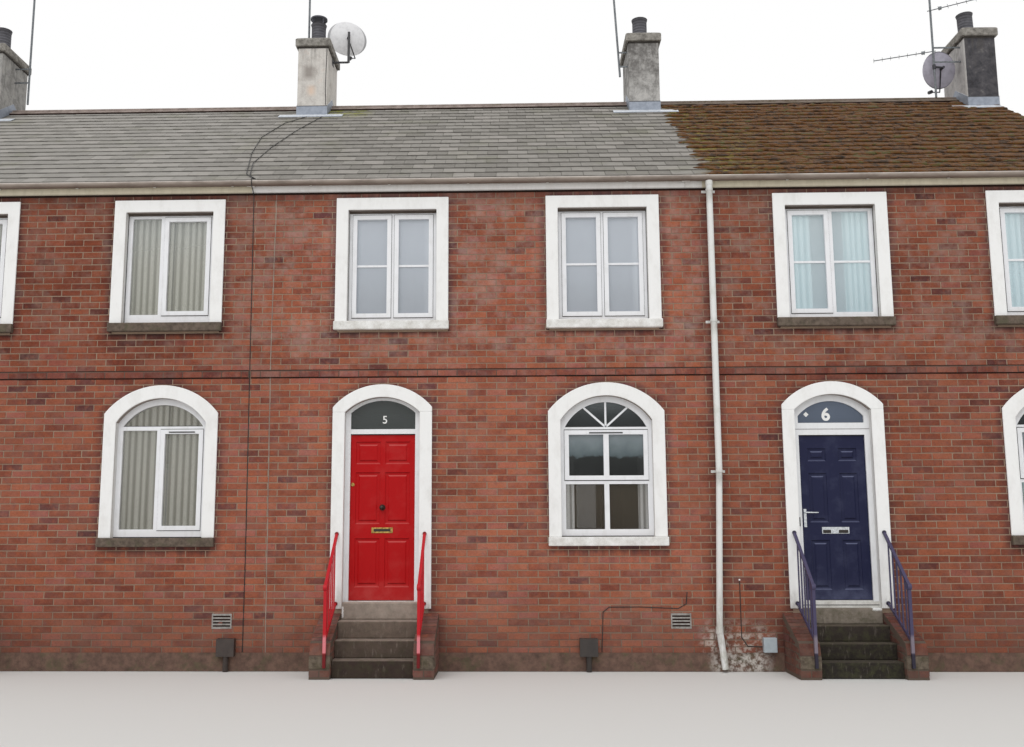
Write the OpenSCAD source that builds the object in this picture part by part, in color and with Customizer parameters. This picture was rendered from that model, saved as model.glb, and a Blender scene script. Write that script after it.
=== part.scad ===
// Terraced row of two-storey brick houses: a door bay and a window bay to each house,
// rendered trim, a pitched slate roof and a rendered chimney on every party wall.
// Units are millimetres. +X runs along the row, +Y from the street to the rear, +Z up.
// The origin is the middle of the footprint at ground level.

/* [Row] */
// Number of houses in the row
houses = 3; // [3:1:6]
// Width of one house between party wall centres
house_w = 5060; // [4960:20:5600]
// Depth over the outer faces of the front and rear walls
house_d = 7150; // [6600:10:8200]
// Thickness of the front and rear walls
wall_t = 240; // [225:5:330]
// Thickness of the party walls between the houses
party_t = 225; // [200:5:300]

/* [Levels] */
// Top of the ground floor and of the door sills
door_sill_z = 740; // [720:10:800]
// Underside of the string course
string_z = 3265; // [3240:5:3300]
// Height of one brick course
course_h = 75; // [65:1:80]
// Top of the first floor
first_floor_z = 3400; // [3390:10:3500]
// Underside of the bedroom ceilings
ceiling_z = 5380; // [5330:10:5400]
// Underside of the fascia boards
eaves_z = 5450; // [5430:10:5490]
// Thickness of the floors
floor_t = 200; // [150:10:210]
// Thickness of the ceilings
ceiling_t = 100; // [60:10:120]

/* [Roof] */
// Pitch of the roof in degrees
roof_pitch = 34; // [30:1:38]
// Thickness of slates, battens and rafters together
roof_t = 100; // [80:5:140]
// Thickness of the slate edge over the gutter
slate_t = 20; // [12:1:30]
// Reach of the slates beyond the wall face
slate_over = 65; // [50:5:75]
// Height of the slates above the fascia's underside
slate_rise = 154; // [140:2:170]
// Length of a ridge tile's leg down the slope
ridge_leg = 130; // [90:5:180]
// Thickness of the ridge tiles
ridge_t = 22; // [12:1:30]
// Radius of the roll along the ridge tiles
ridge_roll_r = 28; // [26:1:40]

/* [Bays] */
// Left edge of the door bay, from the party wall centre
left_bay = 1000; // [900:10:1040]
// Right edge of the window bay, from the next party wall centre
right_bay = 310; // [250:10:350]
// Width of the trim round a window
window_trim_w = 1310; // [1250:10:1340]
// Width of the trim round a door
door_trim_w = 1130; // [1110:10:1180]
// Width of a trim band beside an opening
band_w = 140; // [110:5:150]
// Height of the trim band over an upper window
band_top = 145; // [90:5:160]
// How far the trim stands out of the brickwork
trim_t = 20; // [8:1:30]

/* [Window heights] */
// Top of the upper sills
upper_sill_z = 3905; // [3880:1:3950]
// Head of the upper windows
upper_head_z = 5234; // [5200:1:5260]
// Top of the lower sills
lower_sill_z = 1450; // [1400:5:1500]
// Springing of the arched window openings
window_spring_z = 2750; // [2720:5:2800]
// Rise of the arched window openings
window_rise = 279; // [240:1:300]
// Springing of the trim round the arched windows
window_trim_spring_z = 2854; // [2820:1:2880]
// Rise of the trim over the arched windows
window_trim_rise = 325; // [300:1:350]
// Height of the sills
sill_h = 100; // [75:5:110]
// How far the sills stand out of the brickwork
sill_out = 60; // [40:5:90]
// How far the sills run past the trim on each side
sill_ear = 8; // [0:1:40]

/* [Door heights] */
// Springing of the door openings
door_spring_z = 2855; // [2830:1:2880]
// Rise of the door openings
door_rise = 172; // [150:1:190]
// Springing of the trim round the doors
door_trim_spring_z = 2912; // [2890:1:2930]
// Rise of the trim over the doors
door_trim_rise = 261; // [240:1:280]
// Foot of the trim beside the doors
door_trim_foot_z = 670; // [640:5:700]
// Underside of the bar over the door leaves
transom_z = 2613; // [2600:1:2640]
// Height of the bar over the door leaves
transom_h = 55; // [35:1:90]
// Underside of the moulded bar over the last house's leaf
low_transom_z = 2576; // [2560:1:2600]
// Height of the moulded bar over the last house's leaf
deep_transom_h = 136; // [100:1:160]
// Spring of the last house's fanlight
low_fanlight_spring_z = 2790; // [2770:1:2810]

/* [Frames] */
// How far the frames sit behind the wall face
frame_set = 70; // [50:5:100]
// Depth of the frames
frame_d = 71; // [60:1:76]
// Width of a window frame
frame_w = 55; // [45:1:60]
// Width of a sash bar ring
sash_w = 50; // [40:1:55]
// How far a sash stands out of its frame
sash_out = 12; // [6:1:20]
// Thickness of the sealed panes
pane_t = 24; // [18:1:28]
// Reach of the stop that the leaf closes on
stop_w = 20; // [12:1:25]

/* [Doors] */
// Width of a door leaf
leaf_w = 762; // [740:1:770]
// Thickness of a door leaf
leaf_t = 44; // [38:1:50]
// Gap between the edges of a leaf and its frame
leaf_gap = 7; // [6.5:0.5:9]
// Gap between the face of a leaf and its stop
stop_gap = 5; // [5:0.5:8]
// Gap between a leaf and its threshold
leaf_foot_gap = 6; // [6:1:12]
// Height of the thresholds above the sills
threshold_h = 10; // [10:1:25]
// Radius of a hinge pin
hinge_pin_r = 4; // [3:0.5:6]
// Thickness of a hinge knuckle round its pin
hinge_wall = 2.5; // [2:0.5:4]
// Gap between a pin and its knuckle
hinge_fit = 0.3; // [0.2:0.1:0.5]

/* [Steps] */
// Depth of a tread
tread_d = 175; // [160:5:260]
// Top of the last house's steps
low_step_z = 673; // [640:1:720]
// Width of the steps between the cheek walls
step_w = 870; // [850:10:900]
// Thickness of a cheek wall
cheek_t = 215; // [200:5:225]
// How far a cheek wall runs past the lowest step
cheek_over = 75; // [40:5:150]
// Height of a cheek wall at the house
cheek_wall_z = 620; // [560:10:660]
// Height of a cheek wall at its front
cheek_low_z = 240; // [200:10:300]
// Side of the square rail and post
rail_s = 32; // [25:1:40]
// Height of the handrail at the wall
rail_wall_z = 1505; // [1400:5:1600]
// Height of the handrail at the front post
rail_front_z = 970; // [900:10:1100]

/* [Chimneys] */
// Width of a chimney stack along the row
stack_w = 460; // [450:10:560]
// Depth of a chimney stack
stack_d = 790; // [700:10:900]
// Top of the chimney caps
stack_top_z = 9016; // [8900:1:9300]
// Height of a chimney cap
cap_h = 120; // [90:5:160]
// How far a cap stands out of its stack
cap_out = 40; // [20:5:60]
// Outer radius of a pot
pot_r = 112; // [100:1:125]
// Height of a pot above its cap
pot_h = 430; // [250:5:450]
// Thickness of a pot's wall
pot_wall = 16; // [12:1:20]
// Top of the aerial masts
mast_top_z = 10250; // [10100:50:10400]
// Radius of a mast
mast_r = 16; // [12:1:20]

/* [Rainwater] */
// Outer radius of the half-round gutters
gutter_r = 56; // [50:1:62]
// Thickness of the gutters
gutter_wall = 4; // [3:0.5:6]
// Rim of the gutters above the fascia's underside
gutter_rise = 120; // [110:1:125]
// Outer radius of the downpipes
pipe_r = 36; // [30:1:40]
// Thickness of the fascia boards
fascia_t = 20; // [16:1:25]

/* [Hidden] */
$fn = 48;

// Rooms, ends and footprint
row_half = houses * house_w / 2;
end_inner = row_half - party_t / 2;
end_outer = row_half + stack_w / 2;
mid_y = house_d / 2;
risers = 4;
top_step_out = 20;
cheek_l = (risers - 1) * tread_d + top_step_out + cheek_over;
scroll_r = 34;
front_reach = cheek_l + rail_s / 2 + scroll_r;
bracket_lip = 3;
rear_reach = house_d + fascia_t + 2 * gutter_r + bracket_lip;
y_shift = (front_reach - rear_reach) / 2;
last = houses - 1;
eps = 1;

// Roof surfaces in terms of the distance from the front wall face
slate_edge_z = eaves_z + slate_rise;
function slate_z(y) = slate_edge_z + (y + slate_over) * tan(roof_pitch);
roof_drop = roof_t / cos(roof_pitch);
slate_drop = slate_t / cos(roof_pitch);
function rafter_z(y) = slate_z(y) - roof_drop;
apex_z = slate_z(mid_y);

// Bays of a house
function party_x(i) = (i - houses / 2) * house_w;
function door_x(h) = party_x(h) + left_bay + door_trim_w / 2;
function left_window_x(h) = party_x(h) + left_bay + window_trim_w / 2;
function right_window_x(h) = party_x(h + 1) - right_bay - window_trim_w / 2;
window_w = window_trim_w - 2 * band_w;
door_w = door_trim_w - 2 * band_w;
storey_split_z = string_z + course_h;
lower_head_z = window_spring_z;

// Doors and their leaves
frame_back = frame_set + frame_d;
stop_d = frame_d - leaf_t - stop_gap;
leaf_y = frame_back - leaf_t;
leaf_foot_z = door_sill_z + threshold_h + leaf_foot_gap;
leaf_half = leaf_w / 2;
post_inner = leaf_half + leaf_gap;
post_w = door_w / 2 - post_inner;
hinge_r = hinge_pin_r + hinge_fit + hinge_wall;
hinge_x = leaf_half + leaf_gap / 2;
hinge_y = frame_back + hinge_r;
hinge_h = 100;
hinge_at = [180, 905, 1630];
fanlight_rise = 142;
low_fanlight_rise = 170;

function transom_of(h) = h == last ? deep_transom_h : transom_h;
function leaf_head_z(h) = h == last ? low_transom_z : transom_z;
function leaf_h(h) = leaf_head_z(h) - leaf_gap - leaf_foot_z;

// Six panels of a leaf: stile, muntin, then foot and height of each row above the leaf's foot
stile_w = 84;
six_panels = [74, 56, [[143, 539], [842, 581], [1517, 254]]];
last_panels = [108, 140, [[109, 541], [846, 546], [1527, 143]]];
panel_sink = 8;
field_in = 34;
field_rise = 5;

// Steps
function step_top(h) = h == last ? low_step_z : door_sill_z;
function riser_h(h) = step_top(h) / risers;
deep_sill_y = 50;
cheek_nose = 35;
cheek_nose_h = 125;
rail_off = 490;
post_y = -cheek_l - rail_s / 2;
post_foot_z = 118;
lower_rail_gap = 90;
pickets = 5;
picket_s = 14;
scroll_lip = 4;
flange_r = 22;
flange_t = 12;

// Chimneys and what they carry
flaunch_h = 40;
flaunch_in = 70;
lead_t = 6;
lead_clear = 0.3;
lead_up = 150;
lead_side = 250;
lead_down = 130;
pot_lip = 12;
pot_lip_h = 45;
pot_lean = 2;
pot_fit = 0.3;
cowl_r = 132;
cowl_t = 22;
cowl_gap = 90;
cowl_leg_r = 7;

// Plain helpers
module place() { translate([0, y_shift, 0]) children(); }

// Flat outline in X and Z, standing from depth y to y + t
module facing(y, t) { translate([0, y + t, 0]) rotate([90, 0, 0]) linear_extrude(t) children(); }

// Flat outline in Y and Z, running along the row from x0 to x1
module along_row(x0, x1) { translate([x0, 0, 0]) rotate([90, 0, 90]) linear_extrude(x1 - x0) children(); }

// Rectangle of width w about x, from z0 to z1
module pane_rect(x, w, z0, z1) { translate([x - w / 2, z0]) square([w, z1 - z0]); }

// Opening with a segmental head: width w about x, foot z0, springing zs and rise
module arch_outline(x, w, z0, zs, rise) {
    radius = (w * w / 4 + rise * rise) / (2 * rise);
    pane_rect(x, w, z0, zs);
    intersection() {
        translate([x, zs + rise - radius]) circle(radius);
        pane_rect(x, w, zs, zs + rise);
    }
}

module bar(x0, x1, y0, y1, z0, z1) { translate([x0, y0, z0]) cube([x1 - x0, y1 - y0, z1 - z0]); }

// Round rod between two points
module rod(a, b, r) {
    d = b - a;
    translate(a) rotate([0, acos(d[2] / norm(d)), atan2(d[1], d[0])]) cylinder(h = norm(d), r = r);
}

module bedroom_windows() {
    for (h = [0:last]) {
        pane_rect(left_window_x(h), window_w, upper_sill_z, upper_head_z);
        pane_rect(right_window_x(h), window_w, upper_sill_z, upper_head_z);
    }
}

module arched_window(h) {
    arch_outline(right_window_x(h), window_w, lower_sill_z, window_spring_z, window_rise);
}

// Walls
module front_wall_lower() {
    color("#9c4a35") place() for (i = [0:houses]) {
        x0 = i == 0 ? -end_inner : door_x(i - 1) + door_w / 2;
        x1 = i == houses ? end_inner : door_x(i) - door_w / 2;
        facing(0, wall_t) difference() {
            translate([x0, 0]) square([x1 - x0, storey_split_z]);
            if (i > 0) arched_window(i - 1);
        }
    }
}

module front_wall_at_doors() {
    color("#9c4a35") place() for (h = [0:last]) {
        facing(0, wall_t) pane_rect(door_x(h), door_w, 0, (risers - 1) * riser_h(h));
        facing(0, wall_t) difference() {
            pane_rect(door_x(h), door_w, door_spring_z, storey_split_z);
            arch_outline(door_x(h), door_w, door_sill_z, door_spring_z, door_rise);
        }
    }
}

module front_wall_upper() {
    color("#93432f") place() difference() {
        along_row(-end_inner, end_inner) polygon([
            [0, storey_split_z], [wall_t, storey_split_z], [wall_t, rafter_z(wall_t)], [0, rafter_z(0)]
        ]);
        facing(-eps, wall_t + 2 * eps) bedroom_windows();
    }
}

module rear_wall() {
    color("#93432f") place() difference() {
        along_row(-end_inner, end_inner) polygon([
            [house_d - wall_t, 0], [house_d, 0], [house_d, rafter_z(0)], [house_d - wall_t, rafter_z(wall_t)]
        ]);
        facing(house_d - wall_t - eps, wall_t + 2 * eps) {
            bedroom_windows();
            rear_ground_windows();
        }
    }
}

module rear_ground_windows() {
    for (h = [0:last]) {
        pane_rect(left_window_x(h), window_w, lower_sill_z, lower_head_z);
        pane_rect(right_window_x(h), window_w, lower_sill_z, lower_head_z);
    }
}

// Cross wall outline under the roof, from depth y0 to the same depth at the rear
module cross_wall_outline(y0) {
    polygon([
        [y0, 0], [house_d - y0, 0], [house_d - y0, rafter_z(y0)], [mid_y, rafter_z(mid_y)], [y0, rafter_z(y0)]
    ]);
}

module end_walls() {
    color("#98462f") place() {
        along_row(-end_outer, -end_inner) cross_wall_outline(0);
        along_row(end_inner, end_outer) cross_wall_outline(0);
    }
}

module party_walls() {
    color("#a89f92") place() for (i = [1:last])
        along_row(party_x(i) - party_t / 2, party_x(i) + party_t / 2) cross_wall_outline(wall_t);
}

// Floors and ceilings
module room_slabs(top_z, t) {
    for (h = [0:last]) bar(
        party_x(h) + party_t / 2, party_x(h + 1) - party_t / 2, wall_t, house_d - wall_t, top_z - t, top_z
    );
}

module floors() {
    color("#8a6f52") place() {
        room_slabs(door_sill_z, floor_t);
        room_slabs(first_floor_z, floor_t);
    }
}

module bedroom_ceilings() { color("#d9d5cc") place() room_slabs(ceiling_z + ceiling_t, ceiling_t); }

// Roof
module slope_outline() {
    polygon([
        [-slate_over, slate_z(-slate_over)], [mid_y, apex_z], [mid_y, rafter_z(mid_y)], [0, rafter_z(0)],
        [0, slate_z(0) - slate_drop], [-slate_over, slate_z(-slate_over) - slate_drop]
    ]);
}

module roof_front_slope() { color("#77766c") place() along_row(-end_outer, end_outer) slope_outline(); }

module roof_rear_slope() {
    color("#77766c") place() translate([0, house_d, 0]) mirror([0, 1, 0])
        along_row(-end_outer, end_outer) slope_outline();
}

module ridge_tiles() {
    lead_half = stack_w / 2 + lead_t + eps;
    run = ridge_leg * cos(roof_pitch);
    fall = ridge_leg * sin(roof_pitch);
    rise = ridge_t / cos(roof_pitch);
    color("#6f6c66") place() for (h = [0:last])
        along_row(party_x(h) + lead_half, party_x(h + 1) - lead_half) difference() {
            union() {
                polygon([
                    [mid_y - run, apex_z - fall], [mid_y, apex_z], [mid_y + run, apex_z - fall],
                    [mid_y + run, apex_z - fall + rise], [mid_y, apex_z + rise],
                    [mid_y - run, apex_z - fall + rise]
                ]);
                translate([mid_y, apex_z + rise - ridge_roll_r / 3]) circle(ridge_roll_r);
            }
            polygon([[mid_y - run, apex_z - fall], [mid_y + run, apex_z - fall], [mid_y, apex_z]]);
        }
}

// Bands on the front
string_out = 8;
cable_notch_w = 26;
plinth_out = 12;
plinth_h = 200;

module string_course() {
    notch_x = party_x(1) + eaves_cable_x;
    color("#7c3a2a") place() difference() {
        bar(-end_outer, end_outer, -string_out, 0, string_z, string_z + course_h);
        bar(
            notch_x - cable_notch_w / 2, notch_x + cable_notch_w / 2, -2 * string_out, eps,
            0, string_z + 2 * course_h
        );
    }
}

module plinth() {
    cheek_half = step_w / 2 + cheek_t;
    color("#76716a") place() for (i = [0:houses]) {
        x0 = i == 0 ? -end_outer : door_x(i - 1) + cheek_half;
        x1 = i == houses ? end_outer : door_x(i) - cheek_half;
        bar(x0, x1, -plinth_out, 0, 0, plinth_h);
    }
}

module door_trim_jambs() {
    color("#efeeec") place() for (h = [0:last], side = [-1, 1])
        facing(-trim_t, trim_t) pane_rect(
            door_x(h) + side * (door_w + band_w) / 2, band_w, door_trim_foot_z, door_spring_z
        );
}

module door_trim_arches() {
    color("#efeeec") place() for (h = [0:last])
        facing(-trim_t, trim_t) difference() {
            arch_outline(door_x(h), door_trim_w, door_spring_z, door_trim_spring_z, door_trim_rise);
            arch_outline(door_x(h), door_w, door_spring_z - eps, door_spring_z, door_rise);
        }
}

module window_trim() {
    color("#efeeec") place() for (h = [0:last]) {
        facing(-trim_t, trim_t) difference() {
            arch_outline(
                right_window_x(h), window_trim_w, lower_sill_z, window_trim_spring_z, window_trim_rise
            );
            arch_outline(right_window_x(h), window_w, lower_sill_z - eps, window_spring_z, window_rise);
        }
        for (x = [left_window_x(h), right_window_x(h)])
            facing(-trim_t, trim_t) difference() {
                pane_rect(x, window_trim_w, upper_sill_z, upper_head_z + band_top);
                pane_rect(x, window_w, upper_sill_z - eps, upper_head_z);
            }
    }
}

// Sill in front of the wall face under a window of the trim's width
module sill(x, top_z, y, out) {
    half = window_trim_w / 2 + sill_ear;
    y0 = min(y, y + out);
    bar(x - half, x + half, y0, y0 + sill_out, top_z - sill_h, top_z);
}

module window_sills() {
    color("#8f8f8b") place() for (h = [0:last]) {
        for (x = [left_window_x(h), right_window_x(h)]) {
            sill(x, upper_sill_z, 0, -sill_out);
            sill(x, upper_sill_z, house_d, sill_out);
            sill(x, lower_sill_z, house_d, sill_out);
        }
        sill(right_window_x(h), lower_sill_z, 0, -sill_out);
    }
}

// Two-light window: outer frame, mullion and a sash ring in each light that opens
sash_lap = 10;
// Whether the left and the right light open, house by house
opening_lights = [[false, true], [true, true], [true, false]];
// Where the mullion stands from the middle and how high the foot rail is, house by house
mullion_at = [-95, 0, 15];
foot_rail = [115, 68, 80];

function opens(h, side) = opening_lights[h % len(opening_lights)][side < 0 ? 0 : 1];

// What a pane's edge lies inside the frame: the ring of an opening light, or nothing
function pane_in(h, side) = opens(h, side) ? sash_w - sash_lap : 0;

module light_outline(h, x, w, z0, z1, side, grow) {
    outer = side * (w / 2 - frame_w);
    inner = mullion_at[h % len(mullion_at)] + side * frame_w / 2;
    pane_rect(
        x + (outer + inner) / 2, abs(outer - inner) + 2 * grow,
        z0 + foot_rail[h % len(foot_rail)] - grow, z1 - frame_w + grow
    );
}

module two_light_frame(h, x, w, z0, z1) {
    facing(frame_set, frame_d) difference() {
        pane_rect(x, w, z0, z1);
        light_outline(h, x, w, z0, z1, -1, 0);
        light_outline(h, x, w, z0, z1, 1, 0);
    }
    for (side = [-1, 1]) if (opens(h, side))
        facing(frame_set - sash_out, frame_d) difference() {
            light_outline(h, x, w, z0, z1, side, sash_lap);
            light_outline(h, x, w, z0, z1, side, -pane_in(h, side));
        }
}

module two_light_glass(h, x, w, z0, z1) {
    for (side = [-1, 1])
        facing(frame_set + (frame_d - pane_t) / 2, pane_t)
            light_outline(h, x, w, z0, z1, side, -pane_in(h, side));
}

module upper_window_frames() {
    color("#f2f2f1") place() for (h = [0:last], x = [left_window_x(h), right_window_x(h)])
        two_light_frame(h, x, window_w, upper_sill_z, upper_head_z);
}

module upper_window_glass() {
    color("#a3adb3") place() for (h = [0:last], x = [left_window_x(h), right_window_x(h)])
        two_light_glass(h, x, window_w, upper_sill_z, upper_head_z);
}

module at_rear() { translate([0, house_d, 0]) mirror([0, 1, 0]) children(); }

module rear_window_frames() {
    color("#f2f2f1") place() at_rear() for (h = [0:last], x = [left_window_x(h), right_window_x(h)]) {
        two_light_frame(h, x, window_w, upper_sill_z, upper_head_z);
        two_light_frame(h, x, window_w, lower_sill_z, lower_head_z);
    }
}

module rear_window_glass() {
    color("#a3adb3") place() at_rear() for (h = [0:last], x = [left_window_x(h), right_window_x(h)]) {
        two_light_glass(h, x, window_w, upper_sill_z, upper_head_z);
        two_light_glass(h, x, window_w, lower_sill_z, lower_head_z);
    }
}

// Arched window: a fanlight over a bar, and below it a top-hung light over two fixed lights, or
// in the first house one tall fixed light beside one that opens
fan_bar_h = 45;
fan_half = 460;
fan_foot_z = 2678;
fan_rise = 286;
tall_fan_foot_z = 2712;
tall_fan_rise = 250;
fan_heel = 4;
hung_foot_z = 2090;
hung_bar_h = 55;
hung_bar_w = 60;
lower_lights_foot = 83;
tall_lights_foot = 95;
tall_mullion_at = -38;

function tall_lights(h) = h == 0;

function fan_foot(h) = tall_lights(h) ? tall_fan_foot_z : fan_foot_z;

function lights_head(h) = fan_foot(h) - fan_bar_h;

function lights_foot(h) = lower_sill_z + (tall_lights(h) ? tall_lights_foot : lower_lights_foot);

// Circle segment that stands on the bar under it
module fanlight_outline(h) {
    arch_outline(
        right_window_x(h), 2 * fan_half, fan_foot(h), fan_foot(h) + fan_heel,
        (tall_lights(h) ? tall_fan_rise : fan_rise) - fan_heel
    );
}

// One light beside the mullion: edges moved out by grow, and by inner_grow at the mullion
module arched_light(h, side, z0, z1, grow, inner_grow) {
    outer = side * (window_w / 2 - frame_w + grow);
    inner = (tall_lights(h) ? tall_mullion_at : 0) + side * (frame_w / 2 - inner_grow);
    pane_rect(right_window_x(h) + (outer + inner) / 2, abs(outer - inner), z0 - grow, z1 + grow);
}

// Panes of the sash: one beside the mullion of a tall window, or two with a bar between them
module sash_panes(h) {
    inside = sash_lap - sash_w;
    if (tall_lights(h)) arched_light(h, 1, lights_foot(h), lights_head(h), inside, inside);
    else for (side = [-1, 1])
        arched_light(h, side, hung_foot_z, lights_head(h), inside, (frame_w - hung_bar_w) / 2);
}

module arched_window_frames() {
    color("#f2f2f1") place() for (h = [0:last]) {
        facing(frame_set, frame_d) difference() {
            arched_window(h);
            fanlight_outline(h);
            for (side = [-1, 1]) {
                if (tall_lights(h)) arched_light(h, side, lights_foot(h), lights_head(h), 0, 0);
                if (!tall_lights(h)) arched_light(h, side, hung_foot_z, lights_head(h), 0, 0);
                if (!tall_lights(h)) arched_light(h, side, lights_foot(h), hung_foot_z - hung_bar_h, 0, 0);
            }
        }
        facing(frame_set - sash_out, frame_d) difference() {
            if (tall_lights(h)) arched_light(h, 1, lights_foot(h), lights_head(h), sash_lap, sash_lap);
            if (!tall_lights(h)) pane_rect(
                right_window_x(h), window_w - 2 * frame_w + 2 * sash_lap, hung_foot_z - sash_lap,
                lights_head(h) + sash_lap
            );
            sash_panes(h);
        }
    }
}

module arched_window_glass() {
    color("#5c6466") place() for (h = [0:last])
        facing(frame_set + (frame_d - pane_t) / 2, pane_t) {
            fanlight_outline(h);
            sash_panes(h);
            if (tall_lights(h)) arched_light(h, -1, lights_foot(h), lights_head(h), 0, 0);
            else for (side = [-1, 1]) arched_light(h, side, lights_foot(h), hung_foot_z - hung_bar_h, 0, 0);
        }
}

// Curtains hang from a rail across each reveal
curtain_y = 178;
curtain_t = 16;
curtain_clear = 0.3;
rail_r = 8;
rail_drop = 22;
lower_rail_z = 2690;
curtain_edge = 40;
// Nets of the tall window hang in the room, over the whole arch
net_over = 40;
net_out = 30;
net_rail_z = window_spring_z + window_rise + net_over;
net_foot_z = lower_sill_z - net_over;

module curtain_rails() {
    y = curtain_y + curtain_t / 2;
    half = window_w / 2;
    color("#e6e4df") place() for (h = [0:last]) {
        for (x = [left_window_x(h), right_window_x(h)])
            rod([x - half, y, upper_head_z - rail_drop], [x + half, y, upper_head_z - rail_drop], rail_r);
        if (tall_lights(h)) net_rail(right_window_x(h));
        else rod(
            [right_window_x(h) - half, y, lower_rail_z], [right_window_x(h) + half, y, lower_rail_z], rail_r
        );
    }
}

// Rail on two brackets that stand on the inner face of the wall
module net_rail(x) {
    half = window_w / 2 + 2 * net_over;
    y = wall_t + net_out;
    rod([x - half, y, net_rail_z], [x + half, y, net_rail_z], rail_r);
    for (side = [-1, 1]) translate([x + side * (half - net_over), 0, 0])
        rod([0, wall_t, net_rail_z], [0, y, net_rail_z], rail_r);
}

// Share of each upper window that its left and right curtains cover, house by house
upper_cover = [[0.49, 0.49], [0, 0.12], [0.3, 0.3]];
lower_cover = 0.22;

module curtain_pair(x, width, y, rail_z, foot_z, left, right) {
    top = rail_z - rail_r - curtain_clear;
    x0 = x - width / 2;
    x1 = x + width / 2;
    if (left > 0) bar(x0, x0 + left * width, y, y + curtain_t, foot_z, top);
    if (right > 0) bar(x1 - right * width, x1, y, y + curtain_t, foot_z, top);
}

module curtains() {
    color("#dfe0d8") place() for (h = [0:last]) {
        cover = upper_cover[h % len(upper_cover)];
        width = window_w - 2 * curtain_edge;
        for (x = [left_window_x(h), right_window_x(h)]) curtain_pair(
            x, width, curtain_y, upper_head_z - rail_drop, upper_sill_z + curtain_edge, cover[0], cover[1]
        );
        if (tall_lights(h)) curtain_pair(
            right_window_x(h), window_w + 2 * net_over, wall_t + net_out - curtain_t / 2, net_rail_z,
            net_foot_z, upper_cover[0][0], upper_cover[0][1]
        );
        else curtain_pair(
            right_window_x(h), width, curtain_y, lower_rail_z, lower_sill_z + curtain_edge,
            lower_cover, lower_cover
        );
    }
}

// Door frames, thresholds and leaves
module door_frame_posts() {
    color("#f2f2f1") place() for (h = [0:last], side = [0, 1])
        translate([door_x(h), 0, 0]) mirror([side, 0, 0]) {
            bar(post_inner, door_w / 2, frame_set, frame_back, door_sill_z, leaf_head_z(h));
            bar(
                post_inner - stop_w, post_inner, frame_set, frame_set + stop_d, door_sill_z, leaf_head_z(h)
            );
        }
}

module door_fanlight(h) {
    intersection() {
        arch_outline(
            door_x(h), door_w - 2 * (post_w + stop_w), leaf_head_z(h),
            h == last ? low_fanlight_spring_z : door_spring_z, h == last ? low_fanlight_rise : fanlight_rise
        );
        pane_rect(door_x(h), door_w, leaf_head_z(h) + transom_of(h), door_spring_z + door_rise);
    }
}

module door_frame_heads() {
    color("#f2f2f1") place() for (h = [0:last])
        facing(frame_set, frame_d) difference() {
            arch_outline(door_x(h), door_w, leaf_head_z(h), door_spring_z, door_rise);
            door_fanlight(h);
        }
}

module fanlight_glass() {
    color("#4b5150") place() for (h = [0:last])
        facing(frame_set + (frame_d - pane_t) / 2, pane_t) door_fanlight(h);
}

module door_thresholds() {
    color("#e4e3df") place() for (h = [0:last])
        bar(
            door_x(h) - post_inner + stop_w, door_x(h) + post_inner - stop_w, frame_set, frame_back,
            door_sill_z, door_sill_z + threshold_h
        );
    color("#e4e3df") place() translate([door_x(last), 0, 0])
        bar(-door_w / 2, door_w / 2, deep_sill_y, wall_t, low_step_z, door_sill_z);
}

// Raised panel sunk into both faces of a leaf
module panel_cut(x0, z0, panel_w, h) {
    for (face = [0, 1]) {
        y = face == 0 ? -eps : leaf_t - panel_sink;
        difference() {
            bar(x0, x0 + panel_w, y, y + panel_sink + eps, z0, z0 + h);
            bar(
                x0 + field_in, x0 + panel_w - field_in, face == 0 ? panel_sink - field_rise : y - eps,
                face == 0 ? panel_sink + eps : y + field_rise, z0 + field_in, z0 + h - field_in
            );
        }
    }
}

module door_leaf(h) {
    panels = h == last ? last_panels : six_panels;
    stile = panels[0];
    muntin = panels[1];
    translate([door_x(h), leaf_y, leaf_foot_z]) difference() {
        bar(-leaf_half, leaf_half, 0, leaf_t, 0, leaf_h(h));
        for (row = panels[2], x0 = [-leaf_half + stile, muntin / 2])
            panel_cut(x0, row[0], leaf_half - stile - muntin / 2, row[1]);
    }
}

module left_door() {
    color("#2f4a38") place() {
        door_leaf(0);
        for (x = [-leaf_half - leaf_gap, leaf_half]) translate([door_x(0), 0, 0])
            bar(x, x + leaf_gap, leaf_y, frame_back, leaf_foot_z, leaf_foot_z + leaf_h(0));
    }
}

module middle_door() { color("#a5131a") place() door_leaf(1); }

module right_door() { color("#1a1f3d") place() door_leaf(2); }

// Letter plate, key escutcheon and knob or lever of a leaf
plate_t = 6;
plate = [240, 62, 741];
last_plate = [300, 72, 721];
knob_z = 1026;
knob_r = 34;
knob_stem_r = 12;
knob_out = 48;
lock_z = 1285;
lock_r = 20;
lock_t = 8;
lever_w = 30;
lever_l = 200;
lever_foot_z = 793;
lever_z = 953;
lever_reach = 145;
lever_out = 45;
grip_r = 9;

// Letter plate given as width, height and foot
module letter_plate(p) { bar(-p[0] / 2, p[0] / 2, -plate_t, 0, p[2], p[2] + p[1]); }

module middle_door_fittings() {
    color("#b08d4a") place() hinge_knuckles(1);
    color("#b08d4a") place() translate([door_x(1), leaf_y, leaf_foot_z]) {
        letter_plate(plate);
        translate([0, 0, knob_z]) rotate([90, 0, 0]) {
            cylinder(h = plate_t, r = knob_r);
            cylinder(h = knob_out, r = knob_stem_r);
            translate([0, 0, knob_out]) sphere(r = knob_r * 0.85);
        }
        translate([-leaf_half + stile_w / 2, 0, lock_z]) rotate([90, 0, 0]) cylinder(h = lock_t, r = lock_r);
    }
}

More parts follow.
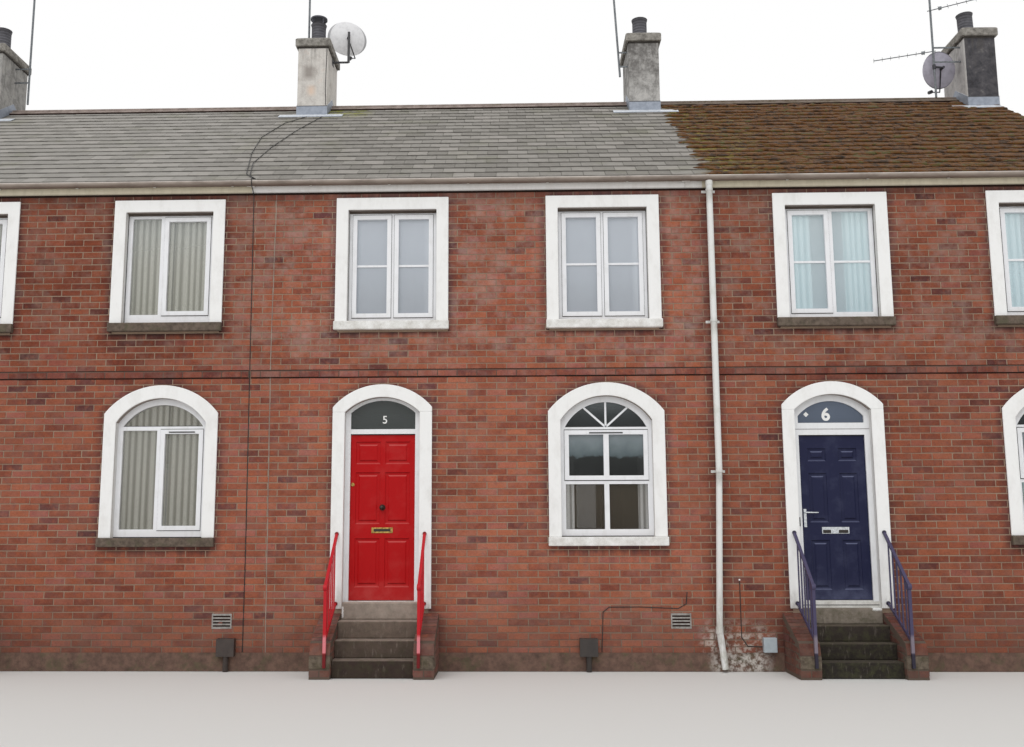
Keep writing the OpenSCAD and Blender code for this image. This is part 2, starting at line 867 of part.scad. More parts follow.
module right_door_fittings() {
    lever_x = -leaf_half + stile_w / 2 + stop_w / 2;
    color("#c9ccd0") place() hinge_knuckles(2);
    color("#c9ccd0") place() translate([door_x(2), leaf_y, leaf_foot_z]) {
        letter_plate(last_plate);
        bar(
            lever_x - lever_w / 2, lever_x + lever_w / 2, -plate_t, 0, lever_foot_z, lever_foot_z + lever_l
        );
        translate([lever_x, 0, lever_z]) rotate([90, 0, 0]) cylinder(h = lever_out, r = grip_r);
        translate([lever_x - grip_r, -lever_out, lever_z]) rotate([0, 90, 0])
            cylinder(h = lever_reach, r = grip_r);
    }
}

// Butt hinges: pins carried by the frame, knuckles carried by the leaf
flap_w = 30;
flap_t = 3;
ear_h = 12;
ear_gap = 0.5;

module hinge_knuckles(h) {
    translate([door_x(h), 0, leaf_foot_z]) for (z = hinge_at) translate([0, 0, z]) difference() {
        union() {
            translate([hinge_x, hinge_y, 0]) cylinder(h = hinge_h, r = hinge_r);
            bar(hinge_x - flap_w, hinge_x, frame_back, frame_back + flap_t, 0, hinge_h);
        }
        translate([hinge_x, hinge_y, -eps]) cylinder(h = hinge_h + 2 * eps, r = hinge_pin_r + hinge_fit);
    }
}

module door_hinge_pins() {
    color("#b8b8b4") place() for (h = [1, 2]) translate([door_x(h), 0, leaf_foot_z]) for (z = hinge_at) {
        translate([hinge_x, hinge_y, z - ear_gap - ear_h])
            cylinder(h = hinge_h + 2 * (ear_h + ear_gap), r = hinge_pin_r);
        for (z0 = [z - ear_gap - ear_h, z + hinge_h + ear_gap]) {
            translate([hinge_x, hinge_y, z0]) cylinder(h = ear_h, r = hinge_r);
            bar(hinge_x, post_inner + flap_w, frame_back, frame_back + flap_t, z0, z0 + ear_h);
        }
    }
}

// Steps: each slab runs from the wall to its own nosing
module step_slabs(n) {
    color("#8c8982") place() for (h = [0:last])
        bar(
            door_x(h) - step_w / 2, door_x(h) + step_w / 2, -(risers - n) * tread_d - top_step_out, 0,
            (n - 1) * riser_h(h), n * riser_h(h)
        );
}

module steps_bottom() { step_slabs(1); }

module steps_second() { step_slabs(2); }

module steps_third() { step_slabs(3); }

// The top slab is the door sill, which keeps between the jambs and runs through the wall
module steps_top() {
    color("#a19e95") place() for (h = [0:last]) {
        x = door_x(h);
        bar(x - door_w / 2, x + door_w / 2, -top_step_out, wall_t, (risers - 1) * riser_h(h), step_top(h));
    }
}

module step_cheek_walls() {
    color("#8d4632") place() for (h = [0:last], side = [-1, 1]) {
        x0 = door_x(h) + (side < 0 ? -step_w / 2 - cheek_t : step_w / 2);
        along_row(x0, x0 + cheek_t)
            polygon([
                [0, 0], [0, cheek_wall_z], [-cheek_l + cheek_nose, cheek_low_z + cheek_nose_h],
                [-cheek_l, cheek_low_z], [-cheek_l, 0]
            ]);
    }
}

// Railing panel: handrail with a scroll, lower rail, pickets and a post before the cheek wall
low_wall_z = cheek_wall_z + lower_rail_gap + rail_s;
low_front_z = cheek_low_z + cheek_nose_h + rail_s;

module railing_panel(x) {
    half = rail_s / 2;
    along_row(x - half, x + half) {
        sloped_bar(-trim_t, rail_wall_z, post_y, rail_front_z);
        polygon([
            [post_y - half, post_foot_z], [post_y + half, post_foot_z],
            [post_y + half, rail_front_z], [post_y - half, rail_front_z]
        ]);
    }
    translate([x - half - scroll_lip, post_y, rail_front_z - scroll_r])
        rotate([0, 90, 0]) cylinder(h = rail_s + 2 * scroll_lip, r = scroll_r);
    for (z = [rail_wall_z, low_wall_z])
        translate([x, -trim_t, z - half]) rotate([90, 0, 0]) cylinder(h = flange_t, r = flange_r);
    along_row(x - half / 2, x + half / 2) sloped_bar(-trim_t, low_wall_z, post_y, low_front_z);
    for (i = [1:pickets]) {
        y = -trim_t + (post_y + trim_t) * i / (pickets + 1);
        top = rail_wall_z + (rail_front_z - rail_wall_z) * (-trim_t - y) / (-trim_t - post_y);
        low = low_wall_z + (low_front_z - low_wall_z) * (-trim_t - y) / (-trim_t - post_y);
        bar(
            x - picket_s / 2, x + picket_s / 2, y - picket_s / 2, y + picket_s / 2,
            low - rail_s / 2, top - rail_s / 2
        );
    }
}

module sloped_bar(y0, z0, y1, z1) {
    polygon([[y0, z0], [y1, z1], [y1, z1 - rail_s], [y0, z0 - rail_s]]);
}

module step_railings() {
    color("#b01b22") place() for (h = [0:last], side = [-1, 1]) railing_panel(door_x(h) + side * rail_off);
}

// Eaves
module fascia_run(x0, x1, top_z) { bar(x0, x1, -fascia_t, 0, eaves_z, top_z); }

module fascia_boards() {
    joint = 4;
    top_z = slate_z(-fascia_t) - slate_drop;
    color("#e9e2cd") place() for (h = [0:last]) {
        x0 = h == 0 ? -end_outer : party_x(h) + joint / 2;
        x1 = h == last ? end_outer : party_x(h + 1) - joint / 2;
        fascia_run(x0, x1, top_z);
        at_rear() fascia_run(x0, x1, top_z);
    }
}

gutter_y = -fascia_t - gutter_r;
gutter_z = eaves_z + gutter_rise;
bracket_w = 28;
bracket_step = 920;
joint_l = 90;
outlet_x = party_x(2) + 266;
outlet_h = 60;
outlet_lap = 8;
stop_end_t = 5;
clip_t = 5;

module gutter_run() {
    inner_r = gutter_r - gutter_wall;
    brackets = floor(2 * end_outer / bracket_step);
    first_x = -(brackets - 1) * bracket_step / 2;
    difference() {
        union() {
            along_row(-end_outer, end_outer) half_disc(gutter_r - 1);
            for (i = [0:brackets - 1]) {
                x = first_x + i * bracket_step;
                along_row(x, x + bracket_w) half_disc(gutter_r + bracket_lip);
                bar(x, x + bracket_w, gutter_y, -fascia_t, gutter_z - gutter_r / 2, gutter_z);
            }
            for (i = [1:last])
                along_row(party_x(i) - joint_l / 2, party_x(i) + joint_l / 2)
                    half_disc(gutter_r + bracket_lip);
            translate([outlet_x, gutter_y, gutter_z - gutter_r - outlet_h + outlet_lap])
                cylinder(h = outlet_h, r = pipe_r + clip_t);
        }
        along_row(-end_outer + stop_end_t, end_outer - stop_end_t)
            translate([0, eps]) half_disc(inner_r + eps);
        translate([outlet_x, gutter_y, gutter_z - 3 * gutter_r])
            cylinder(h = 2.5 * gutter_r, r = pipe_r - gutter_wall);
        bar(
            -end_outer - eps, end_outer + eps, gutter_y - 2 * gutter_r, 0, gutter_z, gutter_z + 2 * gutter_r
        );
        bar(-end_outer - eps, end_outer + eps, -fascia_t, eps, gutter_z - 2 * gutter_r, gutter_z + eps);
    }
}

// Lower half of a disc at the gutter's centre line, drawn in Y and Z
module half_disc(r) {
    intersection() {
        translate([gutter_y, gutter_z]) circle(r);
        translate([gutter_y - 2 * r, gutter_z - 2 * r]) square([4 * r, 2 * r]);
    }
}

module gutters() {
    color("#7f786c") place() {
        gutter_run();
        at_rear() gutter_run();
    }
}

// Downpipe from the outlet to a splayed shoe, held by clips on the wall
clip_z = [2150, 3850, 5390];
clip_h = 30;
clip_w = 36;
clip_ears = 156;
shoe_z = 446;
shoe_foot_z = 30;
shoe_lean = 7;
collar_h = 35;
// The pipe hangs plumb down to its lowest clip; below it a slimmer length leans to one side
pipe_drift = 56;
pipe_step = 1.5;
pipe_lap = 5;
bend_z = clip_z[0] + clip_h / 2;
shoe_x = outlet_x - pipe_drift;

module downpipe() {
    top_z = gutter_z - gutter_r - outlet_h + outlet_lap;
    collar_foot = shoe_z - collar_h;
    difference() {
        union() {
            pipe_line(pipe_r, top_z);
            translate([shoe_x, gutter_y, collar_foot]) cylinder(h = 2 * collar_h, r = pipe_r + clip_t);
            for (z = clip_z) {
                translate([outlet_x, gutter_y, z]) cylinder(h = clip_h, r = pipe_r + clip_t);
                bar(outlet_x - clip_w / 2, outlet_x + clip_w / 2, gutter_y, 0, z, z + clip_h);
                bar(outlet_x - clip_ears / 2, outlet_x + clip_ears / 2, -clip_t, 0, z, z + clip_h);
            }
        }
        pipe_line(pipe_r - gutter_wall, top_z + eps);
        translate([shoe_x, gutter_y, collar_foot - eps])
            cylinder(h = collar_h + pipe_lap + eps, r = pipe_r - gutter_wall);
    }
    intersection() {
        translate([shoe_x, gutter_y, shoe_z]) rotate([0, -shoe_lean, 0]) mirror([0, 0, 1]) difference() {
            cylinder(h = shoe_z - shoe_foot_z, r = pipe_r);
            cylinder(h = shoe_z, r = pipe_r - gutter_wall);
        }
        bar(
            outlet_x - house_w / 2, outlet_x + house_w / 2, gutter_y - 3 * pipe_r, gutter_y + 3 * pipe_r,
            0, collar_foot
        );
    }
}

module pipe_line(r, top_z) {
    translate([outlet_x, gutter_y, bend_z]) cylinder(h = top_z - bend_z, r = r);
    rod([shoe_x, gutter_y, shoe_z], [outlet_x, gutter_y, bend_z + pipe_lap], r - pipe_step);
}

module downpipes() {
    color("#e6e6e3") place() {
        downpipe();
        at_rear() downpipe();
    }
}

// Chimneys
stack_y0 = mid_y - stack_d / 2;
stack_y1 = mid_y + stack_d / 2;
cap_z = stack_top_z - cap_h;

module chimney_stacks() {
    color("#b5aea2") place() for (i = [0:houses])
        along_row(party_x(i) - stack_w / 2, party_x(i) + stack_w / 2) polygon([
            [stack_y0, slate_z(stack_y0)], [mid_y, apex_z], [stack_y1, slate_z(stack_y0)],
            [stack_y1, cap_z], [stack_y0, cap_z]
        ]);
}

module on_cap(i) { translate([party_x(i), mid_y, stack_top_z]) children(); }

function lean_of(i) = i % 4 == 3 ? -pot_lean : 0;

module chimney_caps() {
    w = stack_w + 2 * cap_out;
    d = stack_d + 2 * cap_out;
    color("#9a948a") place() for (i = [0:houses]) on_cap(i) difference() {
        hull() {
            translate([-w / 2, -d / 2, -cap_h]) cube([w, d, cap_h]);
            translate([-w / 2 + flaunch_in, -d / 2 + flaunch_in, 0])
                cube([w - 2 * flaunch_in, d - 2 * flaunch_in, flaunch_h]);
        }
        intersection() {
            rotate([0, lean_of(i), 0]) translate([0, 0, -flaunch_h])
                cylinder(h = 3 * flaunch_h, r = pot_r + pot_fit);
            translate([-w / 2, -d / 2, 0]) cube([w, d, 2 * flaunch_h]);
        }
    }
}

module pot_body() {
    rotate_extrude() polygon([
        [pot_r - pot_wall, -flaunch_h], [pot_r, -flaunch_h], [pot_r, pot_h - pot_lip_h],
        [pot_r + pot_lip, pot_h], [pot_r + pot_lip - pot_wall, pot_h], [pot_r - pot_wall, pot_h - pot_lip_h]
    ]);
}

module chimney_pots() {
    big = 2 * pot_h;
    color("#6b6468") place() for (i = [0:houses]) on_cap(i) intersection() {
        rotate([0, lean_of(i), 0]) pot_body();
        translate([-big / 2, -big / 2, 0]) cube([big, big, big]);
    }
}

module chimney_cowl() {
    leg_at = pot_r + pot_lip - pot_wall / 2;
    color("#57565a") place() on_cap(1) {
        translate([0, 0, pot_h + cowl_gap]) cylinder(h = cowl_t, r = cowl_r);
        for (a = [45:90:315]) rotate([0, 0, a]) translate([leg_at, 0, pot_h])
            cylinder(h = cowl_gap + cowl_t / 2, r = cowl_leg_r);
    }
}

// Lead round each stack: an upstand on all four sides and an apron down each slope
module chimney_flashings() {
    half = stack_w / 2 + lead_t;
    color("#8b949b") place() for (i = [0:houses]) {
        west = i == 0 ? stack_w / 2 : half + lead_side;
        east = i == houses ? stack_w / 2 : half + lead_side;
        upstand_west = i == 0 ? stack_w / 2 : half;
        upstand_east = i == houses ? stack_w / 2 : half;
        difference() {
            union() {
                along_row(party_x(i) - upstand_west, party_x(i) + upstand_east)
                    lead_band(stack_y0 - lead_t, lead_up);
                for (rear = [0, 1]) translate([0, rear * house_d, 0]) mirror([0, rear, 0])
                    along_row(party_x(i) - west, party_x(i) + east) lead_apron();
            }
            bar(
                party_x(i) - stack_w / 2, party_x(i) + stack_w / 2, stack_y0, stack_y1,
                slate_z(stack_y0) - eps, cap_z
            );
        }
    }
}

module lead_band(y0, up) {
    y1 = house_d - y0;
    polygon([
        [y0, slate_z(y0) + lead_clear], [mid_y, apex_z + lead_clear], [y1, slate_z(y0) + lead_clear],
        [y1, slate_z(y0) + up], [mid_y, apex_z + up], [y0, slate_z(y0) + up]
    ]);
}

module lead_apron() {
    y0 = stack_y0 - lead_down;
    y1 = stack_y0 - lead_t / 2;
    foot = lead_clear;
    rise = foot + lead_t / cos(roof_pitch);
    polygon([
        [y0, slate_z(y0) + foot], [y1, slate_z(y1) + foot], [y1, slate_z(y1) + rise], [y0, slate_z(y0) + rise]
    ]);
}

// Masts on the caps or strapped to the stacks: chimney, X from its centre at the foot and the
// head, Y and the level of the foot
low_strap_drop = 346;
high_strap_drop = 116;
strap_levels = [cap_z - low_strap_drop, cap_z - high_strap_drop];
strap_h = 25;
strap_t = 8;
mast_fit = 0.3;
cap_mast = 1;
cap_mast_x = -155;
side_mast_y = mid_y - 250;
first_mast_x = 460;
leaning_mast_x = -350;
leaning_mast_run = 100;
last_mast_x = -640;
first_mast_up = 141;
leaning_mast_tail = 150;
last_mast_drop = 59;
masts = [
    [0, first_mast_x, first_mast_x, mid_y, apex_z + first_mast_up],
    [cap_mast, cap_mast_x, cap_mast_x, mid_y, stack_top_z + flaunch_h],
    [2, leaning_mast_x, leaning_mast_x - leaning_mast_run, side_mast_y, strap_levels[0] - leaning_mast_tail],
    [3, last_mast_x, last_mast_x, side_mast_y, apex_z - last_mast_drop]
];

function mast_x(m, z) = m[1] + (m[2] - m[1]) * (z - m[4]) / (mast_top_z - m[4]);

module strap(m, z) {
    x = mast_x(m, z);
    cx = party_x(m[0]);
    near = m[3] - strap_t / 2;
    far = m[3] + strap_t / 2;
    if (x > 0) bar(cx + stack_w / 2, cx + x, near, far, z, z + strap_h);
    else bar(cx + x, cx - stack_w / 2, near, far, z, z + strap_h);
}

module aerial_masts() {
    color("#8d9194") place() {
        for (m = masts) {
            cx = party_x(m[0]);
            rod([cx + m[1], m[3], m[4]], [cx + m[2], m[3], mast_top_z], mast_r);
            if (m[0] != cap_mast) for (z = strap_levels) strap(m, z);
        }
    }
}

// Boom with cross rods, held on a mast at level z and turned by turn from +X
low_boom_up = 687;
low_boom_z = apex_z + low_boom_up;
low_boom_l = 850;
high_boom_drop = 860;
high_boom_z = mast_top_z - high_boom_drop;
high_boom_l = 900;
boom_r = 7;
element_r = 3;
element_half = 70;
elements = 7;
boom_tail = 40;
dipole_at = 140;
dipole = [46, 32, 40];

module yagi(m, z, turn, length) {
    translate([party_x(m[0]) + mast_x(m, z), m[3], z]) rotate([0, 0, turn])
        translate([0, -mast_r - boom_r, 0]) {
            rod([-boom_tail, 0, 0], [length, 0, 0], boom_r);
            for (i = [1:elements]) {
                x = length * i / elements - 2 * element_r;
                rod([x, -element_half, 0], [x, element_half, 0], element_r);
            }
            translate([dipole_at, 0, 0] - dipole / 2) cube(dipole);
        }
}

module aerial_arrays() {
    color("#8d9194") place() {
        yagi(masts[3], low_boom_z, 160, low_boom_l);
        yagi(masts[3], high_boom_z, -30, high_boom_l);
    }
}

// Dishes: a shallow shell on a stub with a feed arm below its rim, looking over the rear slope
dish_depth = 58;
dish_t = 6;
dish_ball_r = 850;
dish_tip = 12;
dish_stub = 70;
stub_r = 20;
feed_l = 260;
feed_r = 9;
feed_drop = 60;
stack_dish = [631, 524];
stack_dish_x = 480;
stack_dish_up = 246;
stack_dish_z = stack_top_z + stack_dish_up;
stack_dish_turn = 22;
stack_dish_roll = 24;
bracket_drop = 126;
bracket_z = cap_z - bracket_drop;
bracket_plate = 110;
mast_dish = [530, 570];
mast_dish_up = 424;
mast_dish_z = apex_z + mast_dish_up;
mast_dish_turn = 8;
mast_dish_arm = 144;
collar_l = 70;

module dish_shell(size) {
    rim = [for (a = [0:10:350]) [size[0] / 2 * cos(a), size[1] / 2 * sin(a)]];
    difference() {
        intersection() {
            translate([0, 0, dish_ball_r]) sphere(r = dish_ball_r);
            linear_extrude(dish_depth + dish_t) polygon(rim);
        }
        translate([0, 0, dish_ball_r + dish_t]) sphere(r = dish_ball_r);
    }
}

// Dish on a stub at the end of an arm from the origin: the feed's arm is rolled to one side
module aimed_dish(size, turn, roll, arm) {
    drop = size[1] / 2 + feed_drop;
    rotate([0, 0, turn]) {
        if (arm > 0) rotate([0, 90, 0]) cylinder(h = arm, r = stub_r * 0.8);
        translate([arm, arm > 0 ? -stub_r : 0, 0]) rotate([-90, 0, 0])
            cylinder(h = dish_stub + dish_t / 2 + (arm > 0 ? stub_r : 0), r = stub_r);
        translate([arm, dish_stub, 0]) rotate([dish_tip - 90, 0, 0]) mirror([0, 1, 0]) {
            dish_shell(size);
            rotate([0, 0, roll]) {
                rod([0, 0, -feed_r], [0, -drop, -feed_r], feed_r);
                rod([0, -drop, -feed_r], [0, -drop + feed_drop, feed_l], feed_r);
                translate([0, -drop + feed_drop, feed_l - 4 * feed_r])
                    cylinder(h = 8 * feed_r, r = 3 * feed_r);
            }
        }
    }
}

module satellite_dishes() {
    side_x = party_x(1) + stack_w / 2;
    post_x = party_x(1) + stack_dish_x;
    arm_z = bracket_z + bracket_plate / 2;
    m = masts[3];
    color("#dfe1e2") place() {
        translate([post_x, mid_y, stack_dish_z]) 
            aimed_dish(stack_dish, stack_dish_turn, stack_dish_roll, 0);
        translate([post_x, mid_y, arm_z]) cylinder(h = stack_dish_z - arm_z + dish_stub, r = stub_r);
        translate([side_x, mid_y, arm_z]) rotate([0, 90, 0])
            cylinder(h = stack_dish_x - stack_w / 2, r = stub_r * 0.8);
        bar(
            side_x, side_x + strap_t, mid_y - bracket_plate / 2, mid_y + bracket_plate / 2,
            bracket_z, bracket_z + bracket_plate
        );
        translate([party_x(m[0]) + m[1], m[3], mast_dish_z]) difference() {
            union() {
                aimed_dish(mast_dish, mast_dish_turn, 0, mast_dish_arm);
                translate([0, 0, -collar_l / 2]) cylinder(h = collar_l, r = mast_r + strap_t);
            }
            translate([0, 0, -collar_l]) cylinder(h = 2 * collar_l, r = mast_r + mast_fit);
        }
    }
}

// Small things on the front wall
airbrick_w = 222;
airbrick_h = 165;
airbrick_t = 8;
airbrick_in = 190;
airbrick_z = 455;
slots = 4;
slot_h = 18;
slot_edge = 14;

module airbricks() {
    step = (airbrick_h - 2 * slot_edge) / slots;
    half = airbrick_w / 2;
    color("#8e8a84") place() for (h = [0:last])
        translate([party_x(h + 1) - airbrick_in, 0, airbrick_z]) difference() {
            bar(-half, half, -airbrick_t, 0, 0, airbrick_h);
            for (i = [0:slots - 1]) {
                z = slot_edge + (i + 0.5) * step;
                bar(
                    -half + slot_edge, half - slot_edge, -airbrick_t - eps, -airbrick_t / 3,
                    z - slot_h / 2, z + slot_h / 2
                );
            }
        }
}

// Dark boxes over a short pipe, by house and distance from its right party wall, and one grey box
dark_boxes = [[0, 122], [1, 1205]];
dark_box = [196, 78, 190];
dark_box_z = 165;
box_pipe_r = 30;
grey_box_x = 755;
grey_box = [144, 72, 157];
grey_box_z = 206;
// Bell push on the last house's left door post
bell = [28, 14, 100];
bell_x = -421;
bell_z = 1559;

module service_boxes() {
    color("#3b3532") place() {
        for (b = dark_boxes) translate([party_x(b[0] + 1) - b[1], -plinth_out, 0]) {
            translate([-dark_box[0] / 2, -dark_box[1], dark_box_z]) cube(dark_box);
            translate([0, -box_pipe_r, 0]) cylinder(h = dark_box_z, r = box_pipe_r);
        }
        translate([party_x(2) + grey_box_x - grey_box[0] / 2, -grey_box[1], grey_box_z]) cube(grey_box);
        translate([door_x(last) + bell_x, frame_set - bell[1], bell_z]) cube(bell);
    }
}

// Cables clipped flat to the brickwork: an eight-sided tube through points in X and Z
cable_r = 5;
cable_y = -cable_r;
cable_sides = 8;
eaves_cable_x = 36;

function unit(v) = v / norm(v);

// Direction of the tube at point i, halfway between the runs that meet there
function run_dir(p, i) =
    i == 0 ? unit(p[1] - p[0])
    : i == len(p) - 1 ? unit(p[i] - p[i - 1])
    : unit(unit(p[i] - p[i - 1]) + unit(p[i + 1] - p[i]));

function mitre(p, i) = i == 0 ? 1 : 1 / (unit(p[i] - p[i - 1]) * run_dir(p, i));

function cable_ring(p, i) = [
    for (k = [0:cable_sides - 1])
        let (a = 360 * (k + 0.5) / cable_sides, d = run_dir(p, i), side = cable_r * cos(a) * mitre(p, i))
        [p[i][0] + side * d[1], cable_y + cable_r * sin(a), p[i][1] - side * d[0]]
];

module cable_run(x0, p) {
    last_ring = (len(p) - 1) * cable_sides;
    faces = [
        [for (k = [0:cable_sides - 1]) k],
        for (i = [0:len(p) - 2], k = [0:cable_sides - 1])
            let (a = i * cable_sides + k, b = i * cable_sides + (k + 1) % cable_sides)
            [a, a + cable_sides, b + cable_sides, b],
        [for (k = [cable_sides - 1:-1:0]) last_ring + k]
    ];
    translate([x0, 0, 0]) polyhedron([for (i = [0:len(p) - 1]) each cable_ring(p, i)], faces);
}

// Runs in X from a party wall and Z: down from the eaves, below the window, and to the grey box
eaves_run = [[-16, eaves_z - 15], [0, 3100], [16, 1193], [14, plinth_h + cable_r]];
window_run = [
    [-117, 840], [-130, 720], [-220, 670], [-650, 688], [-975, 686], [-1040, 632], [-1060, plinth_h + cable_r]
];
box_entry_z = grey_box_z + 56;
box_run = [[460, 968], [460, 362], [521, box_entry_z + 8], [grey_box_x - grey_box[0] / 2, box_entry_z]];

// Runs up the front slope from the slate edge to the lead apron, in X and the distance up the slope
slope_cable_top = (stack_y0 - lead_down + slate_over) / cos(roof_pitch) - cable_r;
roof_runs = [
    [[22, 0], [-119, 255], [-309, 1316], [-407, 2315], [-283, 3279], [-50, slope_cable_top]],
    [[46, 0], [-57, 165], [-167, 799], [-129, 1677], [-4, 2729], [190, slope_cable_top]]
];

// Run down the front of a stack in X and Z, from the bracket to the lead
stack_run = [
    [214, cap_z - 30], [206, cap_z - 396], [202, apex_z + 141], [212, slate_z(stack_y0) + lead_up + cable_r]
];

module on_front_slope() {
    translate([party_x(1), -slate_over, slate_edge_z]) rotate([roof_pitch - 90, 0, 0]) children();
}

// Loop round the gutter in Y and Z, from the slate edge to the wall
loop_x = eaves_cable_x - 16 - cable_r;
gutter_clear = gutter_r + bracket_lip + cable_r + 2;
loop_top = slate_edge_z + cable_r;
gutter_loop = [
    [-slate_over + 10, loop_top + 8], [gutter_y - gutter_clear + 25, loop_top - 4],
    [gutter_y - gutter_clear, loop_top - 30], [gutter_y - gutter_clear, gutter_z - gutter_r / 2],
    [gutter_y - gutter_r / 2, gutter_z - gutter_clear - 8], [-fascia_t - cable_r - 8, eaves_z + 8],
    [-fascia_t - cable_r - 4, eaves_z - 14], [-cable_r - 5, eaves_z - 30]
];

module wall_cables() {
    color("#1d1b1b") place() {
        cable_run(party_x(1) + eaves_cable_x, eaves_run);
        cable_run(party_x(2), window_run);
        cable_run(party_x(2), box_run);
        for (run = roof_runs) on_front_slope() cable_run(0, run);
        translate([party_x(1) + loop_x, 0, 0]) rotate([0, 0, 90]) cable_run(0, gutter_loop);
        translate([0, stack_y0, 0]) cable_run(party_x(1), stack_run);
    }
}

front_wall_lower();
front_wall_at_doors();
front_wall_upper();
rear_wall();
end_walls();
party_walls();
floors();
bedroom_ceilings();
roof_front_slope();
roof_rear_slope();
ridge_tiles();
string_course();
plinth();
door_trim_jambs();
door_trim_arches();
window_trim();
window_sills();
upper_window_frames();
arched_window_frames();
rear_window_frames();
upper_window_glass();
arched_window_glass();
rear_window_glass();
curtain_rails();
curtains();
door_frame_posts();
door_frame_heads();
fanlight_glass();
door_thresholds();
left_door();
middle_door();
middle_door_fittings();
right_door();
right_door_fittings();
door_hinge_pins();
steps_bottom();
steps_second();
steps_third();
steps_top();
step_cheek_walls();
step_railings();
fascia_boards();
gutters();
downpipes();
chimney_stacks();
chimney_caps();
chimney_pots();
chimney_cowl();
chimney_flashings();
aerial_masts();
aerial_arrays();
satellite_dishes();
airbricks();
service_boxes();
wall_cables();
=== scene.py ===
import math
from functools import partial, reduce

import bpy
import bmesh
import numpy as np
from mathutils import Matrix, Vector


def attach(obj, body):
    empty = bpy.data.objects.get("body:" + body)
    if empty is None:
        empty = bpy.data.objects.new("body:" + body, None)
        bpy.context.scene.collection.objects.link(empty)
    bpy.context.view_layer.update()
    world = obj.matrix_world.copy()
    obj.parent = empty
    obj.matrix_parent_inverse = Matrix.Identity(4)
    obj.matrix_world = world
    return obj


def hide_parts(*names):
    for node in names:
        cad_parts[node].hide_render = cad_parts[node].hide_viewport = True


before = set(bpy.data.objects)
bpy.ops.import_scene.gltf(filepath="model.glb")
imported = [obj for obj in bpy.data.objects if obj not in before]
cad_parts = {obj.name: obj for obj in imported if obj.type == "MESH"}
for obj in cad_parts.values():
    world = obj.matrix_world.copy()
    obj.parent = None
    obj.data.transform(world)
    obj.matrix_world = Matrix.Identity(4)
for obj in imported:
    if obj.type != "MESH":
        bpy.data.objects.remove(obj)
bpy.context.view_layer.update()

# The row in metres: party wall centres, wall faces, and the bays measured from a party wall
row = {
    "party": [-7.59, -2.53, 2.53, 7.59], "frontY": -3.3075, "rearY": 3.8425, "ridgeY": 0.2675, "endX": 7.82,
    "doorBay": 1.565, "leftBay": 1.655, "rightBay": 4.095, "pitch": math.radians(34),
    "slateEdgeZ": 5.604, "slateOver": 0.065, "roofDepth": 0.1, "slateEdge": 0.02, "halfDepth": 3.575,
}
frontY = row["frontY"]
rearY = row["rearY"]
houses = row["party"][:3]
eastward, inward, upward = np.eye(3)

# Small helpers

# sRGB hex to linear colour: c / 12.92 below 0.04045, ((c + 0.055) / 1.055) ^ 2.4 above
def linearOf(code):
    parts = [int(code[i:i + 2], 16) / 255 for i in (1, 3, 5)]
    return tuple(c / 12.92 if c < 0.04045 else ((c + 0.055) / 1.055) ** 2.4 for c in parts) + (1.0,)


# Adds one node: sockets are a list in order or a dict by name, and take values or other nodes;
# settings are the node's own properties
def addNode(tree, kind, sockets=(), stops=None, **settings):
    node = tree.nodes.new("ShaderNode" + kind)
    for name, value in settings.items():
        setattr(node, name, value)
    for name, value in sockets.items() if isinstance(sockets, dict) else enumerate(sockets):
        if isinstance(value, bpy.types.Node):
            value = value.outputs[
                2 if value.bl_idname == "ShaderNodeMix" and value.data_type == "RGBA" else 0
            ]
        if isinstance(value, bpy.types.NodeSocket):
            tree.links.new(value, node.inputs[name])
        else:
            node.inputs[name].default_value = linearOf(value) if isinstance(value, str) else value
    if stops:
        points = node.color_ramp.elements
        while len(points) < len(stops):
            points.new(0.5)
        for point, (place, colour) in zip(points, stops):
            point.position = place
            point.color = linearOf(colour) if isinstance(colour, str) else (colour, colour, colour, 1.0)
    return node


# A material, the function that adds nodes to it and its shader; fixed sockets are set on the
# shader itself
def newMaterial(name, **fixed):
    material = bpy.data.materials.new(name)
    material.use_nodes = True
    shader = material.node_tree.nodes["Principled BSDF"]
    for socket, value in fixed.items():
        value = linearOf(value) if isinstance(value, str) else value
        shader.inputs[socket.replace("_", " ")].default_value = value
    return material, partial(addNode, material.node_tree), shader


# A finish with patterns on it also gets the place on the piece, in the piece's own coordinates; a
# pattern's scale is 1000 / the size of its feature in millimetres, or 1 / its size in metres. Sand
# and grit, under 2 mm in truth, are drawn 4 to 14 mm across, coarse enough to show
def patterned(name, **fixed):
    material, add, shader = newMaterial(name, **fixed)
    return material, add, shader, add("TexCoord").outputs["Object"]


# Amounts multiplied out: a tuple of numbers and nodes, which may hold other tuples
def product(add, amount):
    if not isinstance(amount, tuple):
        return amount
    return reduce(lambda a, b: add("Math", [a, b], operation="MULTIPLY"), [product(add, a) for a in amount])


# Dresses a shader: coats (amount, colour, way of mixing) laid over a base colour one after
# another, and reliefs (height, metres for a full step, strength) from the finest up
def dressed(add, shader, base, coats=(), reliefs=()):
    links = shader.id_data.links
    colour = base
    for amount, over, *way in coats:
        sockets = {0: product(add, amount), 6: colour, 7: over}
        colour = add("Mix", sockets, data_type="RGBA", blend_type=(way or ["MIX"])[0])
    if isinstance(colour, str):
        shader.inputs["Base Color"].default_value = linearOf(colour)
    else:
        links.new(colour.outputs[2 if coats else 0], shader.inputs["Base Color"])
    relief = None
    for height, metres, strength in reliefs:
        sockets = {"Height": height, "Distance": metres, "Strength": strength}
        relief = add("Bump", sockets if relief is None else {**sockets, "Normal": relief})
    if relief:
        links.new(relief.outputs[0], shader.inputs["Normal"])


# An object in the scene for a mesh, a light or a camera
def placed(name, data):
    thing = bpy.data.objects.new(name, data)
    bpy.context.scene.collection.objects.link(thing)
    return thing


